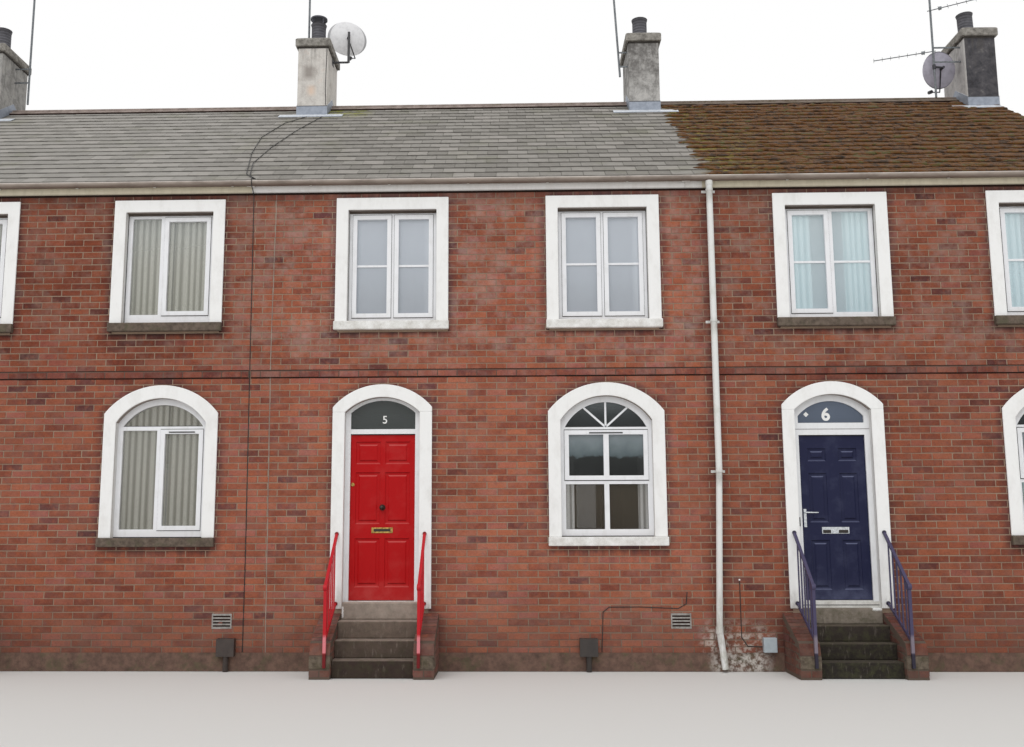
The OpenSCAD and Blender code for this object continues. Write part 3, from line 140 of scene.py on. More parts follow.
# Turns a mesh's faces outwards, once points closer together than a distance are merged
def cleaned(mesh, merge=0.0):
    shell = bmesh.new()
    shell.from_mesh(mesh)
    if merge:
        bmesh.ops.remove_doubles(shell, verts=shell.verts[:], dist=merge)
    bmesh.ops.recalc_face_normals(shell, faces=shell.faces[:])
    shell.to_mesh(mesh)
    shell.free()


# Mesh object from corner arrays, riding on a body, in the finish it is given
def addPiece(name, verts, faces, material, slot, body="row", node=None, smooth=False, attributes=None):
    mesh = bpy.data.meshes.new(name)
    verts = np.asarray(verts, dtype=np.float64).reshape(-1, 3)
    faces = np.asarray(faces, dtype=np.int32)
    mesh.vertices.add(len(verts))
    mesh.vertices.foreach_set("co", verts.ravel())
    mesh.loops.add(faces.size)
    mesh.loops.foreach_set("vertex_index", faces.ravel())
    mesh.polygons.add(len(faces))
    mesh.polygons.foreach_set("loop_start", np.arange(len(faces), dtype=np.int32) * faces.shape[1])
    mesh.polygons.foreach_set("use_smooth", np.full(len(faces), smooth))
    mesh.update(calc_edges=True)
    mesh.validate()
    for label, values in (attributes or {}).items():
        mesh.attributes.new(label, "FLOAT", "POINT").data.foreach_set(
            "value", np.asarray(values, dtype=np.float32)
        )
    mesh.materials.append(material)
    piece = placed(name, mesh)
    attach(piece, body)
    if node:
        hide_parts(node)
    return piece


# Rings of four corners stacked outwards to a closed block: back, sides between rings, front
def ringFaces(count, rings):
    side = np.arange(4)
    after = (side + 1) % 4
    quads = [np.array([[3, 2, 1, 0]])]
    for r in range(rings - 1):
        quads.append(np.stack([4 * r + side, 4 * r + after, 4 * r + 4 + after, 4 * r + 4 + side], axis=1))
    quads.append(np.array([[0, 1, 2, 3]]) + 4 * (rings - 1))
    one = np.concatenate(quads)
    return (one[None] + (np.arange(count) * 4 * rings)[:, None, None]).reshape(-1, 4)


# Boxes (x0, x1, y0, y1, z0, z1) with a chamfer all round: each corner splits into three points
def chamferedBoxes(boxes, chamfer):
    boxes = np.asarray(boxes, dtype=float).reshape(-1, 6)
    mesh = bmesh.new()
    bmesh.ops.create_cube(mesh, size=2.0)
    bmesh.ops.bevel(mesh, geom=mesh.edges[:], offset=0.5, segments=1, affect="EDGES")
    unit = np.array([v.co[:] for v in mesh.verts])
    tris = np.array(
        [[v.index for v in f.verts] for f in bmesh.ops.triangulate(mesh, faces=mesh.faces[:])["faces"]]
    )
    mesh.free()
    inner = np.abs(unit) < 0.75
    low, high = boxes[:, None, 0::2], boxes[:, None, 1::2]
    half = (high - low) / 2
    cut = np.minimum(chamfer, half * 0.45)
    verts = (low + high) / 2 + np.sign(unit)[None] * (half - inner[None] * cut)
    faces = tris[None] + (np.arange(len(boxes)) * len(unit))[:, None, None]
    return verts.reshape(-1, 3), faces.reshape(-1, 3)


# Chamfered boxes as one piece
def addBoxes(name, boxes, chamfer, *rest, **more):
    return addPiece(name, *chamferedBoxes(boxes, chamfer), *rest, **more)


sharpFrom = math.radians(40)


# A merged copy of a CAD node, or of the part of it that keep picks by its faces' centres, in its
# own finish; a width above nought rounds its edges with a bevel
def carried(name, node, material, width=0.0, keep=None, body="row", smooth=False):
    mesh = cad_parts[node].data.copy()
    mesh.name = name
    shell = bmesh.new()
    shell.from_mesh(mesh)
    bmesh.ops.remove_doubles(shell, verts=shell.verts[:], dist=1e-5)
    if keep:
        centres = np.array([f.calc_center_median()[:] for f in shell.faces])
        wanted = keep(*centres.T)
        bmesh.ops.delete(shell, geom=[f for f, w in zip(shell.faces[:], wanted) if not w], context="FACES")
    bmesh.ops.dissolve_limit(
        shell, angle_limit=math.radians(0.5), verts=shell.verts[:], edges=shell.edges[:]
    )
    shell.to_mesh(mesh)
    shell.free()
    mesh.materials.clear()
    mesh.materials.append(material)
    piece = placed(name, mesh)
    if smooth:
        mesh.shade_smooth()
        mesh.set_sharp_from_angle(angle=sharpFrom)
    if width > 0:
        bevel = piece.modifiers.new("roundedEdges", "BEVEL")
        bevel.width = width
        bevel.segments = 2
        bevel.limit_method = "ANGLE"
        bevel.angle_limit = sharpFrom
        bevel.use_clamp_overlap = True
    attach(piece, body)
    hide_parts(node)
    return piece


print("helpers ready")

# Brickwork: materials

# Fired facing brick: sandy, red-orange to brown with mauve blotches, limed pale higher up, painted
# shade with soot streaks beside the trims, a painted shadow under the sills with dirt runs below,
# damp near the ground, which makes the wall's patchy look
def brickwork(name, palette, upperLime=0.5, lowerLime=0.16, damp=0.6):
    material, add, shader, onPiece = patterned(name, Roughness=0.9, Specular_IOR_Level=0.22)
    tone, burnt, beside, under = (
        add("Attribute", attribute_name=n).outputs["Fac"] for n in ("tone", "burnt", "beside", "under")
    )
    x, y, z = add("SeparateXYZ", [onPiece]).outputs
    grain = add("TexNoise", {"Vector": onPiece, "Scale": 1000 / 14, "Detail": 6.0, "Roughness": 0.72})
    blotch = add("TexNoise", {"Vector": onPiece, "Scale": 1000 / 75, "Detail": 4.0, "Roughness": 0.65})
    patch = add("TexNoise", {"Vector": onPiece, "Scale": 1000 / 700, "Detail": 5.0, "Roughness": 0.62})
    cloud = add("TexNoise", {"Vector": onPiece, "Scale": 1000 / 200, "Detail": 6.0, "Roughness": 0.72})
    stretched = add("Mapping", {"Vector": onPiece, "Scale": (1.0, 1.0, 0.14)})
    drip = add("TexNoise", {"Vector": stretched, "Scale": 1000 / 70, "Detail": 4.0, "Roughness": 0.65})
    lime = (
        add("MapRange", [z, 3.2, 3.7, lowerLime, upperLime]),
        add("ValToRGB", [cloud], stops=[(0.44, 0.0), (0.66, 1.0)])
    )
    # Painted shade beside the trims and the pipe, broken up by soot streaks
    soot = (
        add("MapRange", [beside, 0.20, 0.30, 0.0, 0.95]),
        add("MapRange", [drip, 0.3, 0.6, 0.5, 1.0])
    )
    # Painted shadow on the bricks just under each sill
    sillShadow = add("MapRange", [under, 0.235, 0.30, 0.0, 0.95])
    drips = (
        add("MapRange", [under, 0.0, 0.27, 0.0, 0.7]),
        add("ValToRGB", [drip], stops=[(0.45, 0.0), (0.7, 1.0)])
    )
    eaves = (
        add("MapRange", [z, 5.22, 5.45, 0.0, 0.62]), add("MapRange", [drip, 0.3, 0.6, 0.45, 1.0])
    )
    wet = (
        add("MapRange", [z, 0.95, 0.15, 0.0, damp]),
        add("ValToRGB", [cloud], stops=[(0.3, 0.25), (0.62, 1.0)])
    )
    west = (
        add("MapRange", [x, -1.9, -3.1, 0.0, 1.0]), add("MapRange", [z, 2.9, 3.6, 0.35, 1.0])
    )
    east = add("MapRange", [x, 2.4, 2.9, 0.0, 1.0])
    bloom = add("TexNoise", {"Vector": onPiece, "Scale": 1000 / 90, "Detail": 5.0, "Roughness": 0.7})
    salt = (
        add("MapRange", [add("Math", [x, 3.0], operation="SUBTRACT"), 0.42, 0.2, 0.0, 1.0]),
        add("MapRange", [x, 2.5, 2.66, 0.0, 1.0]), add("MapRange", [z, 0.60, 0.36, 0.0, 1.0]),
        add("ValToRGB", [bloom], stops=[(0.46, 0.0), (0.6, 0.75)])
    )
    dressed(add, shader, add("ValToRGB", [tone], stops=list(zip((0.0, 0.25, 0.5, 0.75, 1.0), palette))), [
        (burnt, "#563539"),
        (add("ValToRGB", [blotch], stops=[(0.5, 0.0), (0.68, 0.5)]), "#b06547"),
        (add("ValToRGB", [blotch], stops=[(0.3, 0.5), (0.44, 0.0)]), "#7b5150"),
        (0.75, add("ValToRGB", [grain], stops=[(0.3, 0.6), (0.52, 1.0), (0.75, 1.3)]), "MULTIPLY"),
        (0.75, add("ValToRGB", [patch], stops=[(0.36, 0.72), (0.60, 1.04)]), "MULTIPLY"),
        (lime, "#a8938b"), (soot, "#4a3337"), (drips, "#4f3a37"), (sillShadow, "#241a18"), (eaves, "#4d3a35"),
        (wet, "#675046"), (salt, "#cfcac2"), (west, "#d6c8c1", "MULTIPLY"), (east, "#e6e2df", "MULTIPLY")
    ], [(grain, 0.0024, 0.8)])
    return material


# Masonry behind the facings: sandy mortar outside, plaster inside, white paint on the jambs and
# painted shade on the soffit over each opening
def masonryMaterial(name, white=True, light="#b09a86", dark="#86705f"):
    material, add, shader, onPiece = patterned(name, Roughness=0.92, Specular_IOR_Level=0.2)
    x, y, z = add("SeparateXYZ", [onPiece]).outputs
    facing = add("SeparateXYZ", [add("NewGeometry").outputs["Normal"]]).outputs
    grain = add("TexNoise", {"Vector": onPiece, "Scale": 1000 / 6, "Detail": 4.0, "Roughness": 0.7})
    patch = add("TexNoise", {"Vector": onPiece, "Scale": 1000 / 500, "Detail": 5.0, "Roughness": 0.6})
    coats = [
        (0.8, add("ValToRGB", [patch], stops=[(0.3, 0.7), (0.65, 1.0)]), "MULTIPLY"),
        (add("MapRange", [z, 5.3, 5.45, 0.0, 0.6]), "#50403a"),
        (add("MapRange", [z, 0.8, 0.15, 0.0, 0.75]), "#5d5148")
    ]
    if white:
        near = add("Math", [y, frontY + 0.3], operation="LESS_THAN")
        side = add(
            "Math", [add("Math", [facing["X"]], operation="ABSOLUTE"), 0.5], operation="GREATER_THAN"
        )
        # Painted shade on faces near the front that look down: the soffits over the openings
        soffitShade = add("Math", [facing["Z"], -0.3], operation="LESS_THAN")
        coats += [((side, near), "#d9d8d6"), ((soffitShade, near), "#958b85")]
    fromRidge = add("Math", [add("Math", [y, row["ridgeY"]], operation="SUBTRACT")], operation="ABSOLUTE")
    inside = (
        add("Math", [fromRidge, 3.42], operation="LESS_THAN"),
        add("Math", [add("Math", [x], operation="ABSOLUTE"), 7.6], operation="LESS_THAN")
    )
    coats.append((inside, "#857e74"))
    dressed(
        add, shader, add("ValToRGB", [grain], stops=[(0.25, dark), (0.75, light)]), coats,
        [(grain, 0.002, 0.7)]
    )
    return material


facingTones = ["#83483a", "#92533f", "#9d5b45", "#a9654b", "#a26156"]
brickFacing = brickwork("weathered facing brick", facingTones)
brickRear = brickwork("rear facing brick", facingTones, 0.3, 0.2, 0.5)
courseBrick = brickwork(
    "projecting course brick", ["#74423b", "#824a3f", "#8d5143", "#965847", "#8f5a58"], 0.35, 0.3
)
copingBrick = brickwork(
    "mossy brick on edge", ["#5f3834", "#6b3f3a", "#774439", "#7f4c43", "#7a4f50"], 0.3, 0.3, 0.75
)
masonry = masonryMaterial("sandy mortar and plaster")
print("brick finishes ready")

# Brickwork: shapes

bricks = {
    "course": 0.075, "length": 0.225, "joint": 0.010, "firstZ": 0.04, "proud": 0.004, "sunk": 0.003,
    "arris": 0.0035, "burnt": 0.05,
}


# Half width at height z of an opening with a segmental head
def archHalf(z, width, spring, rise):
    radius = (width * width / 4 + rise * rise) / (2 * rise)
    if z >= spring + rise:
        return 0.0
    return width / 2 if z <= spring else min(
        width / 2, math.sqrt(radius ** 2 - (z - spring - rise + radius) ** 2)
    )


# Levels of the front's openings: foot, head or springing, and rise of the arch
upperHole, archedHole, doorHole = (3.805, 5.379), (1.35, 2.854, 0.325), (0.0, 2.912, 0.261)

# Outlines that darken the front round them, with painted shade and soot beside the trims and a
# painted shadow under the sills, as upright shapes: middle, half width, foot, springing level, rise, sill
darkeningOutlines = [(2.796, 0.045, 0.1, 5.6, 0.0, 0.0)]
for party in houses:
    for bay in ("leftBay", "rightBay"):
        darkeningOutlines.append((party + row[bay], 0.66, *upperHole, 0.0, upperHole[0]))
    darkeningOutlines.append((party + row["rightBay"], 0.66, *archedHole, archedHole[0]))
    darkeningOutlines.append((party + row["doorBay"], 0.565, *doorHole, 0.0))
    darkeningOutlines += [(party + row["doorBay"] + s * 0.5425, 0.1075, 0.0, 0.56, 0.0, 0.0) for s in (-1, 1)]


# How near a point of the front is to a trim (0.3 m less the distance to its outline, whose head
# is a circle's arc) and how close below a sill
def wallMarks(verts):
    x, z = verts[:, 0], verts[:, 2]
    beside, under = np.zeros(len(x)), np.zeros(len(x))
    for middle, half, foot, spring, rise, sill in darkeningOutlines:
        dx = np.abs(x - middle) - half
        away = np.hypot(np.maximum(dx, 0), np.maximum(np.maximum(foot - z, z - spring), 0))
        if rise:
            radius = (half ** 2 + rise ** 2) / (2 * rise)
            arc = np.hypot(x - middle, z - (spring + rise - radius)) - radius
            away = np.where(z > spring, np.minimum(away, np.maximum(arc, 0)), away)
        beside = np.maximum(beside, 0.3 - away)
        if sill:
            below = 0.3 - (sill - z)
            under = np.maximum(under, np.where((z < sill + 0.01) & (dx < 0.02), below, 0.0))
    return {"beside": beside.clip(0, 0.3), "under": under.clip(0, 0.3)}


# Rectangles of stretcher bond between heights: every other course is shifted by half a brick,
# and the gaps that a function gives for a course are cut out
def courseRects(start, end, fromZ, toZ, gaps, skip=()):
    found = []
    first = math.floor((fromZ - bricks["firstZ"]) / bricks["course"] + 0.01)
    last = math.ceil((toZ - bricks["firstZ"]) / bricks["course"] - 0.01)
    for k in range(first, last):
        z0 = bricks["firstZ"] + k * bricks["course"]
        z1 = min(z0 + bricks["course"] - bricks["joint"], toZ)
        if z1 - z0 < 0.02 or k in skip:
            continue
        z0 = max(z0, fromZ)
        shift = 0.5 * bricks["length"] * (k % 2)
        left = np.arange(
            math.floor((start - shift) / bricks["length"]), math.ceil((end - shift) / bricks["length"]) + 1
        )
        left = left * bricks["length"] + shift
        spans = [(max(a, start), min(a + bricks["length"] - bricks["joint"], end)) for a in left]
        for lo, hi in gaps(z0, z1):
            spans = [p for a, b in spans for p in ((a, min(b, lo)), (max(a, hi), b)) if p[1] > p[0]]
        found += [(a, b, z0, z1) for a, b in spans if b - a > 0.018]
    return np.array(found)


# Relief of bricks on a plane: each is three rings, sunk base, face edge and inset face.
# The two axes lie in the plane and their cross product points out of the wall.
def brickRelief(name, rects, origin, along, up, material, slot, seed, top=None, proud=None, marks=None):
    rng = np.random.default_rng(seed)
    n = len(rects)
    a, b, z0, z1 = rects.T
    wobble = rng.normal(0, 0.0012, (4, n)).clip(-0.002, 0.002)
    u = np.stack([a + wobble[0], b + wobble[1], b + wobble[1], a + wobble[0]], axis=1)
    v = np.stack([z0 + wobble[2], z0 + wobble[2], z1 + wobble[3], z1 + wobble[3]], axis=1)
    if top is not None:
        v[:, 2] = np.minimum(v[:, 2], top(u[:, 2]))
        v[:, 3] = np.minimum(v[:, 3], top(u[:, 3]))
    middle = np.stack([u.mean(axis=1), v.mean(axis=1)], axis=1)
    out = (proud or bricks["proud"]) + rng.normal(0, 0.0007, n).clip(-0.0012, 0.0012)
    tilt = rng.normal(0, 0.0006, (2, n)).clip(-0.001, 0.001)
    rings = []
    for inset, level in ((0.0, -bricks["sunk"]), (0.0005, 0.55), (bricks["arris"], 1.0)):
        ru = u + np.sign(middle[:, :1] - u) * inset
        rv = v + np.sign(middle[:, 1:] - v) * inset
        depth = np.full((n, 4), level) if level < 0 else level * out[:, None] * np.ones((1, 4))
        if level == 1.0:
            depth = depth + tilt[0][:, None] * np.array([-1, 1, 1, -1])
            depth = depth + tilt[1][:, None] * np.array([-1, -1, 1, 1])
        rings.append(np.stack([ru, rv, depth], axis=2))
    local = np.stack(rings, axis=1).reshape(-1, 3)
    along, up = np.array(along, float), np.array(up, float)
    out3 = np.cross(along, up)
    verts = np.array(origin, float) + local[:, :1] * along + local[:, 1:2] * up + local[:, 2:] * out3
    attributes = {
        "tone": np.repeat(rng.random(n), 12),
        "burnt": np.repeat((rng.random(n) < bricks["burnt"]) * rng.uniform(0.35, 0.85, n), 12)
    }
    if marks:
        attributes.update(marks(verts))
    return addPiece(name, verts, ringFaces(n, 3), material, slot, attributes=attributes)


# Openings of the front in one list: centre, foot, head and half width at a height
def frontOpenings():
    archedHalf = lambda z: archHalf(z, 1.31, *archedHole[1:]) - 0.03
    doorHalf = lambda z: 0.6 if z < 0.6 else archHalf(z, 1.13, *doorHole[1:]) - 0.03
    found = []
    for party in houses:
        for bay in ("leftBay", "rightBay"):
            found.append((party + row[bay], *upperHole, lambda z: 0.625))
        found.append((party + row["rightBay"], archedHole[0], sum(archedHole[1:]), archedHalf))
        found.append((party + row["doorBay"], doorHole[0], sum(doorHole[1:]), doorHalf))
    return found


# Gaps in one course: an opening counts where the course lies wholly between its foot and head
def frontGaps(z0, z1):
    return [
        (x - half(z1), x + half(z1))
        for x, foot, head, half in frontOpenings() if z0 >= foot - 0.03 and z1 <= head and half(z1) > 0
    ]


stringCourse = 43        # the 44th course is the projecting one
eavesTop = 5.462
wholeRow = (-row["endX"] - 0.003, row["endX"] + 0.003)

fronts = courseRects(*wholeRow, 0.19, eavesTop, frontGaps, skip=(stringCourse,))
frontPlane = ((0, frontY, 0), eastward, upward)
for label, rects, seed in (
    ("Lower", fronts[fronts[:, 3] < 3.3], 11), ("Upper", fronts[fronts[:, 3] > 3.3], 12)
):
    brickRelief(
        "frontBricks" + label, rects, *frontPlane, brickFacing, "front_wall_" + label.lower(), seed,
        marks=wallMarks
    )
stringRects = courseRects(*wholeRow, 3.265, 3.335, lambda a, b: [(-2.509, -2.479)])
brickRelief(
    "stringCourseBricks", stringRects, (0, frontY - 0.008, 0), eastward, upward, courseBrick,
    "string_course", 13
)

# Painted shadow, with some dirt, in the corners of the string course, and a black strip under the
# eaves that paints the shadow line under the fascia
shadowBlack = newMaterial("painted shadow black", Base_Color="#2a1d19", Roughness=0.95, Specular_IOR_Level=0.1)[0]
darkMarks = []
for x0, x1 in ((-7.82, -2.506), (-2.482, 7.82)):
    darkMarks += [
        [x0, x1, frontY - 0.0062, frontY + 0.002, 3.249, 3.264],
        [x0, x1, frontY - 0.0078, frontY + 0.002, 3.336, 3.349]
    ]
darkMarks.append([-7.82, 7.82, frontY - 0.0105, frontY + 0.001, 5.428, 5.4505])
addBoxes("cornerShadowLines", darkMarks, 0.003, shadowBlack, "string_course")


# The rear repeats plain windows: openings are cut clean and carry soldier bricks as heads
soldier = {"high": 0.215, "wide": 0.065, "openingHalf": 0.515, "rowHalf": 0.59}
rearWindows = [
    (-(party + row[bay]), foot, head)
    for party in houses for bay in ("leftBay", "rightBay") for foot, head in ((1.40, 2.75), (3.87, 5.234))
]


# Gaps in one course of the rear: the opening up to its head, then the wider row of soldiers
def rearGaps(z0, z1):
    found = []
    for middle, foot, head in rearWindows:
        if z1 > foot and z0 < head + soldier["high"]:
            half = soldier["openingHalf"] if z0 < head - 0.03 else soldier["rowHalf"]
            found.append((middle - half, middle + half))
    return found


soldierX = bricks["course"] * np.arange(16) - 0.595
soldiers = np.array([
    (middle + a, middle + a + soldier["wide"], head + 0.004, head + 0.212)
    for middle, foot, head in rearWindows for a in soldierX
])
rearRects = np.concatenate([courseRects(*wholeRow, 0.04, eavesTop, rearGaps), soldiers])
brickRelief("rearBricks", rearRects, (0, rearY, 0), -eastward, upward, brickRear, "rear_wall", 14)


# Height of the rafters' underside at a distance in from the nearer wall face
def rafterZ(u):
    reach = row["halfDepth"] - np.abs(u - row["ridgeY"])
    drop = row["roofDepth"] / math.cos(row["pitch"])
    return row["slateEdgeZ"] + (reach + row["slateOver"]) * math.tan(row["pitch"]) - drop


# Courses under a raking top: bricks above it go, those that cross it are shortened to it
def rakedRects(rects, top, least=0.012):
    rects = rects.copy()
    for side, other in ((0, 1), (1, 0)):
        out = top(rects[:, side]) < rects[:, 2] + least
        step = (rects[:, other] - rects[:, side]) / 24
        for i in range(23):
            move = out & (top(rects[:, side]) < rects[:, 2] + least)
            rects[move, side] += step[move]
    return rects[(rects[:, 1] - rects[:, 0] > 0.02) & (top(rects[:, 0]) > rects[:, 2] + 0.4 * least)]


endRects = rakedRects(courseRects(frontY - 0.004, rearY + 0.004, 0.04, 8.0, lambda a, b: []), rafterZ)
brickRelief(
    "rightEndBricks", endRects, (row["endX"], 0, 0), inward, upward, brickRear, "end_walls", 15, top=rafterZ
)
leftRects = endRects[:, [1, 0, 2, 3]] * np.array([-1, -1, 1, 1])
brickRelief(
    "leftEndBricks", leftRects, (-row["endX"], 0, 0), -inward, upward, brickRear, "end_walls", 16,
    top=lambda u: rafterZ(-u)
)
print("wall bricks:", len(fronts) + len(rearRects) + 2 * len(endRects))

# Cheek walls of the steps: brick sides, bricks on edge down the slope, a mossy cement block in
# front over a last course of brick
cheeks = {
    "out": [0.0, 0.585, 0.62], "top": [0.62, 0.365, 0.24], "thick": 0.215, "stepHalf": 0.435, "edge": 0.068,
    "blockFoot": 0.10, "blockTop": 0.236,
}


# Underside of the bricks on edge at a distance out from the house
def cheekTop(out):
    return np.interp(out, cheeks["out"], cheeks["top"]) - cheeks["edge"]


# One cheek wall: sides cut to the slope, bricks on edge down it, the block in front and its foot
def cheekBricks(name, doorX, side, seed):
    inner = doorX + side * cheeks["stepHalf"]
    outer = inner + side * cheeks["thick"]
    lowX, highX = min(inner, outer), max(inner, outer)
    (o0, o1, o2), (t0, t1, t2) = cheeks["out"], cheeks["top"]
    sides = rakedRects(courseRects(0.0, o2, 0.04, 0.62, lambda a, b: []), cheekTop)
    turned = sides[:, [1, 0, 2, 3]] * np.array([-1, -1, 1, 1])       # the face to +x runs the other way
    node = "step_cheek_walls"
    brickRelief(
        name + "Right", turned, (highX, frontY, 0), inward, upward, copingBrick, node, seed,
        top=lambda u: cheekTop(-u)
    )
    brickRelief(
        name + "Left", sides, (lowX, frontY, 0), -inward, upward, copingBrick, node, seed + 1, top=cheekTop
    )
    for part, (a, b, z0, z1) in enumerate(((o0, o1, t0, t1), (o1, o2, t1, t2))):
        slope = math.atan2(z0 - z1, b - a)
        run = math.hypot(z0 - z1, b - a)
        place = np.arange(0.004, run - 0.05, 0.075) if part == 0 else np.array([0.004])
        long = 0.065 if part == 0 else run - 0.008
        wide = np.full(len(place), cheeks["thick"])
        coping = np.stack([0.001 + 0 * wide, wide - 0.001, -(place + long), -place], axis=1)
        brickRelief(
            f"{name}Coping{part + 1}", coping, (lowX, frontY - a, z0), eastward,
            (0, math.cos(slope), math.sin(slope)), copingBrick, node, seed + 2 + part, proud=0.005
        )
    face = frontY - o2
    block = [
        lowX - 0.004, highX + 0.004, face - 0.006, face + 0.16, cheeks["blockFoot"], cheeks["blockTop"]
    ]
    addBoxes(name + "Block", block, 0.01, footCement, node)
    foot = np.array([(0.002, 0.1, 0.025, 0.09), (0.112, 0.213, 0.025, 0.09)])
    brickRelief(name + "Foot", foot, (lowX, face, 0), eastward, upward, copingBrick, node, seed + 4)


# Concrete cast in place: light and dark clouds with fine aggregate, algae where it stays damp
def concrete(name, light, dark, green="#555843", greenFrom=0.5, size=0.11, coats=None):
    material, add, shader, onPiece = patterned(name, Roughness=0.9, Specular_IOR_Level=0.25)
    cloud = add("TexNoise", {"Vector": onPiece, "Scale": 1 / size, "Detail": 6.0, "Roughness": 0.66})
    grain = add("TexNoise", {"Vector": onPiece, "Scale": 1000 / 5, "Detail": 3.0, "Roughness": 0.8})
    algae = add("TexNoise", {
        "Vector": onPiece, "Scale": 1000 / 170, "Detail": 5.0, "Roughness": 0.7, "Distortion": 0.4
    })
    dressed(add, shader, add("ValToRGB", [cloud], stops=[(0.3, dark), (0.64, light)]), [
        (0.6, add("ValToRGB", [grain], stops=[(0.35, 0.74), (0.6, 1.08)]), "MULTIPLY"),
        (add("ValToRGB", [algae], stops=[(greenFrom, 0.0), (greenFrom + 0.2, 0.7)]), green),
        *(coats(add, onPiece) if coats else [])
    ], [(grain, 0.0012, 0.6), (cloud, 0.006, 0.5)])
    return material


footCement = concrete("mossy cement block", "#756a5c", "#463b33", green="#4d4935", greenFrom=0.5, size=0.05)
for h, party in enumerate(houses):
    for side, label in ((-1, "West"), (1, "East")):
        cheekBricks(f"cheek{h + 1}{label}", party + row["doorBay"], side, 40 + 10 * h + 5 * side)
print("cheek walls done")

# Roof

roof = {
    "gauge": 0.230, "width": 0.250, "gap": 0.005, "long": 0.300, "tail": 0.009, "deckLower": 0.019,
    "tailPoints": 5, "chip": 0.004,
}
slopeRun = (row["halfDepth"] + row["slateOver"]) / math.cos(row["pitch"])


# Natural slate: warm grey, split surface, each slate its own tone, painted shadow with dirt under the
# next row's tails, lichen; brown, orange and olive moss where the last house's roof lies damp
def slateMaterial(name):
    material, add, shader, onPiece = patterned(name, Roughness=0.8, Specular_IOR_Level=0.25)
    tone, tail = (add("Attribute", attribute_name=n).outputs["Fac"] for n in ("tone", "tail"))
    x, y, z = add("SeparateXYZ", [onPiece]).outputs
    stretched = add("Mapping", {"Vector": onPiece, "Scale": (0.5, 1.0, 1.0)})
    split = add("TexNoise", {"Vector": stretched, "Scale": 1000 / 50, "Detail": 6.0, "Roughness": 0.68})
    tuft = add("TexNoise", {"Vector": stretched, "Scale": 1000 / 60, "Detail": 5.0, "Roughness": 0.7})
    stretched = add("Mapping", {"Vector": onPiece, "Scale": (0.75, 1.0, 1.0)})
    streak = add("TexNoise", {
        "Vector": stretched, "Scale": 1000 / 85, "Detail": 7.0, "Roughness": 0.82, "Distortion": 0.6
    })
    border = add("TexNoise", {"Vector": onPiece, "Scale": 1000 / 400, "Detail": 4.0, "Roughness": 0.7})
    cushion = add("TexNoise", {"Vector": onPiece, "Scale": 1000 / 550, "Detail": 5.0, "Roughness": 0.65})
    lichen = add("TexNoise", {"Vector": onPiece, "Scale": 1000 / 35, "Detail": 4.0, "Roughness": 0.6})
    algae = add("TexNoise", {"Vector": onPiece, "Scale": 1000 / 550, "Detail": 4.0, "Roughness": 0.6})
    speckle = add("TexNoise", {"Vector": onPiece, "Scale": 1000 / 100, "Detail": 5.0, "Roughness": 0.7})
    # Painted shadow, with dirt, just under the next row's tails
    joint = add("MapRange", [tail, 0.186, 0.226, 0.0, 0.85])
    mossEdge = add("Math", [border, 0.7, 2.46], operation="MULTIPLY_ADD")
    pastEdge = add("Math", [x, mossEdge], operation="SUBTRACT")
    damp = add("MapRange", [pastEdge, -0.04, 0.10, 0.0, 1.0])
    mossTone = add("ValToRGB", [streak], stops=[
        (0.34, "#120d09"), (0.43, "#33261a"), (0.49, "#54391f"),
        (0.55, "#754820"), (0.61, "#4c4a22"), (0.70, "#8b8068")
    ])
    mossPatch = add("ValToRGB", [cushion], stops=[(0.38, 0.62), (0.60, 1.1)])
    cover = (damp, add("ValToRGB", [tuft], stops=[(0.32, 0.55), (0.46, 1.0)]))
    fromStack = add("Math", [add("Math", [x, 2.05], operation="ADD")], operation="ABSOLUTE")
    belowStack = (
        add("MapRange", [fromStack, 0.5, 0.2, 0.0, 1.0]), add("MapRange", [z, 7.62, 7.80, 0.0, 1.0]),
        add("Math", [y, row["ridgeY"]], operation="LESS_THAN"),
        add("ValToRGB", [speckle], stops=[(0.42, 0.0), (0.56, 0.85)])
    )
    west = add("MapRange", [x, -3.5, -2.0, 0.35, 0.0])
    rim = (
        add("MapRange", [pastEdge, 1.1, 0.15, 0.0, 0.95]),
        add("ValToRGB", [streak], stops=[(0.47, 0.0), (0.56, 1.0)]), damp
    )
    shadow = (joint, add("MapRange", [damp, 0.0, 1.0, 1.0, 0.3]))
    dressed(add, shader, add("ValToRGB", [tone], stops=[
        (0.0, "#7f7b75"), (0.35, "#89857f"), (0.7, "#918d87"), (1.0, "#9c9791")
    ]), [
        (0.75, add("ValToRGB", [split], stops=[(0.28, 0.72), (0.7, 1.14)]), "MULTIPLY"),
        (west, "#a5a29d"),
        (add("ValToRGB", [lichen], stops=[(0.60, 0.0), (0.7, 0.4)]), "#b4b0a5"),
        (add("ValToRGB", [algae], stops=[(0.54, 0.0), (0.72, 0.4)]), "#787862"),
        (belowStack, "#7f8030"), (cover, mossTone),
        (damp, add("Mix", {0: 0.8, 6: "#ffffff", 7: mossPatch}, data_type="RGBA"), "MULTIPLY"),
        (rim, "#7c7428"),
        (shadow, add("Mix", {0: damp, 6: "#3e3b36", 7: "#150f0a"}, data_type="RGBA"))
    ], [(split, 0.004, 0.8)])
    return material


# Moss cushions: soft, dull, brown and orange on top with olive in them
def mossMaterial():
    material, add, shader, onPiece = patterned(
        "moss cushions", Roughness=0.95, Specular_IOR_Level=0.1, Sheen_Weight=0.15
    )
    clump = add("TexNoise", {"Vector": onPiece, "Scale": 1000 / 160, "Detail": 6.0, "Roughness": 0.75})
    fuzz = add("TexNoise", {"Vector": onPiece, "Scale": 1000 / 6, "Detail": 4.0, "Roughness": 0.7})
    dressed(add, shader, add("ValToRGB", [clump], stops=[
        (0.30, "#1c140c"), (0.42, "#3b2814"), (0.52, "#68411d"),
        (0.60, "#4c4420"), (0.70, "#55552a"), (0.8, "#837a48")
    ]), [], [(fuzz, 0.004, 1.0)])
    return material


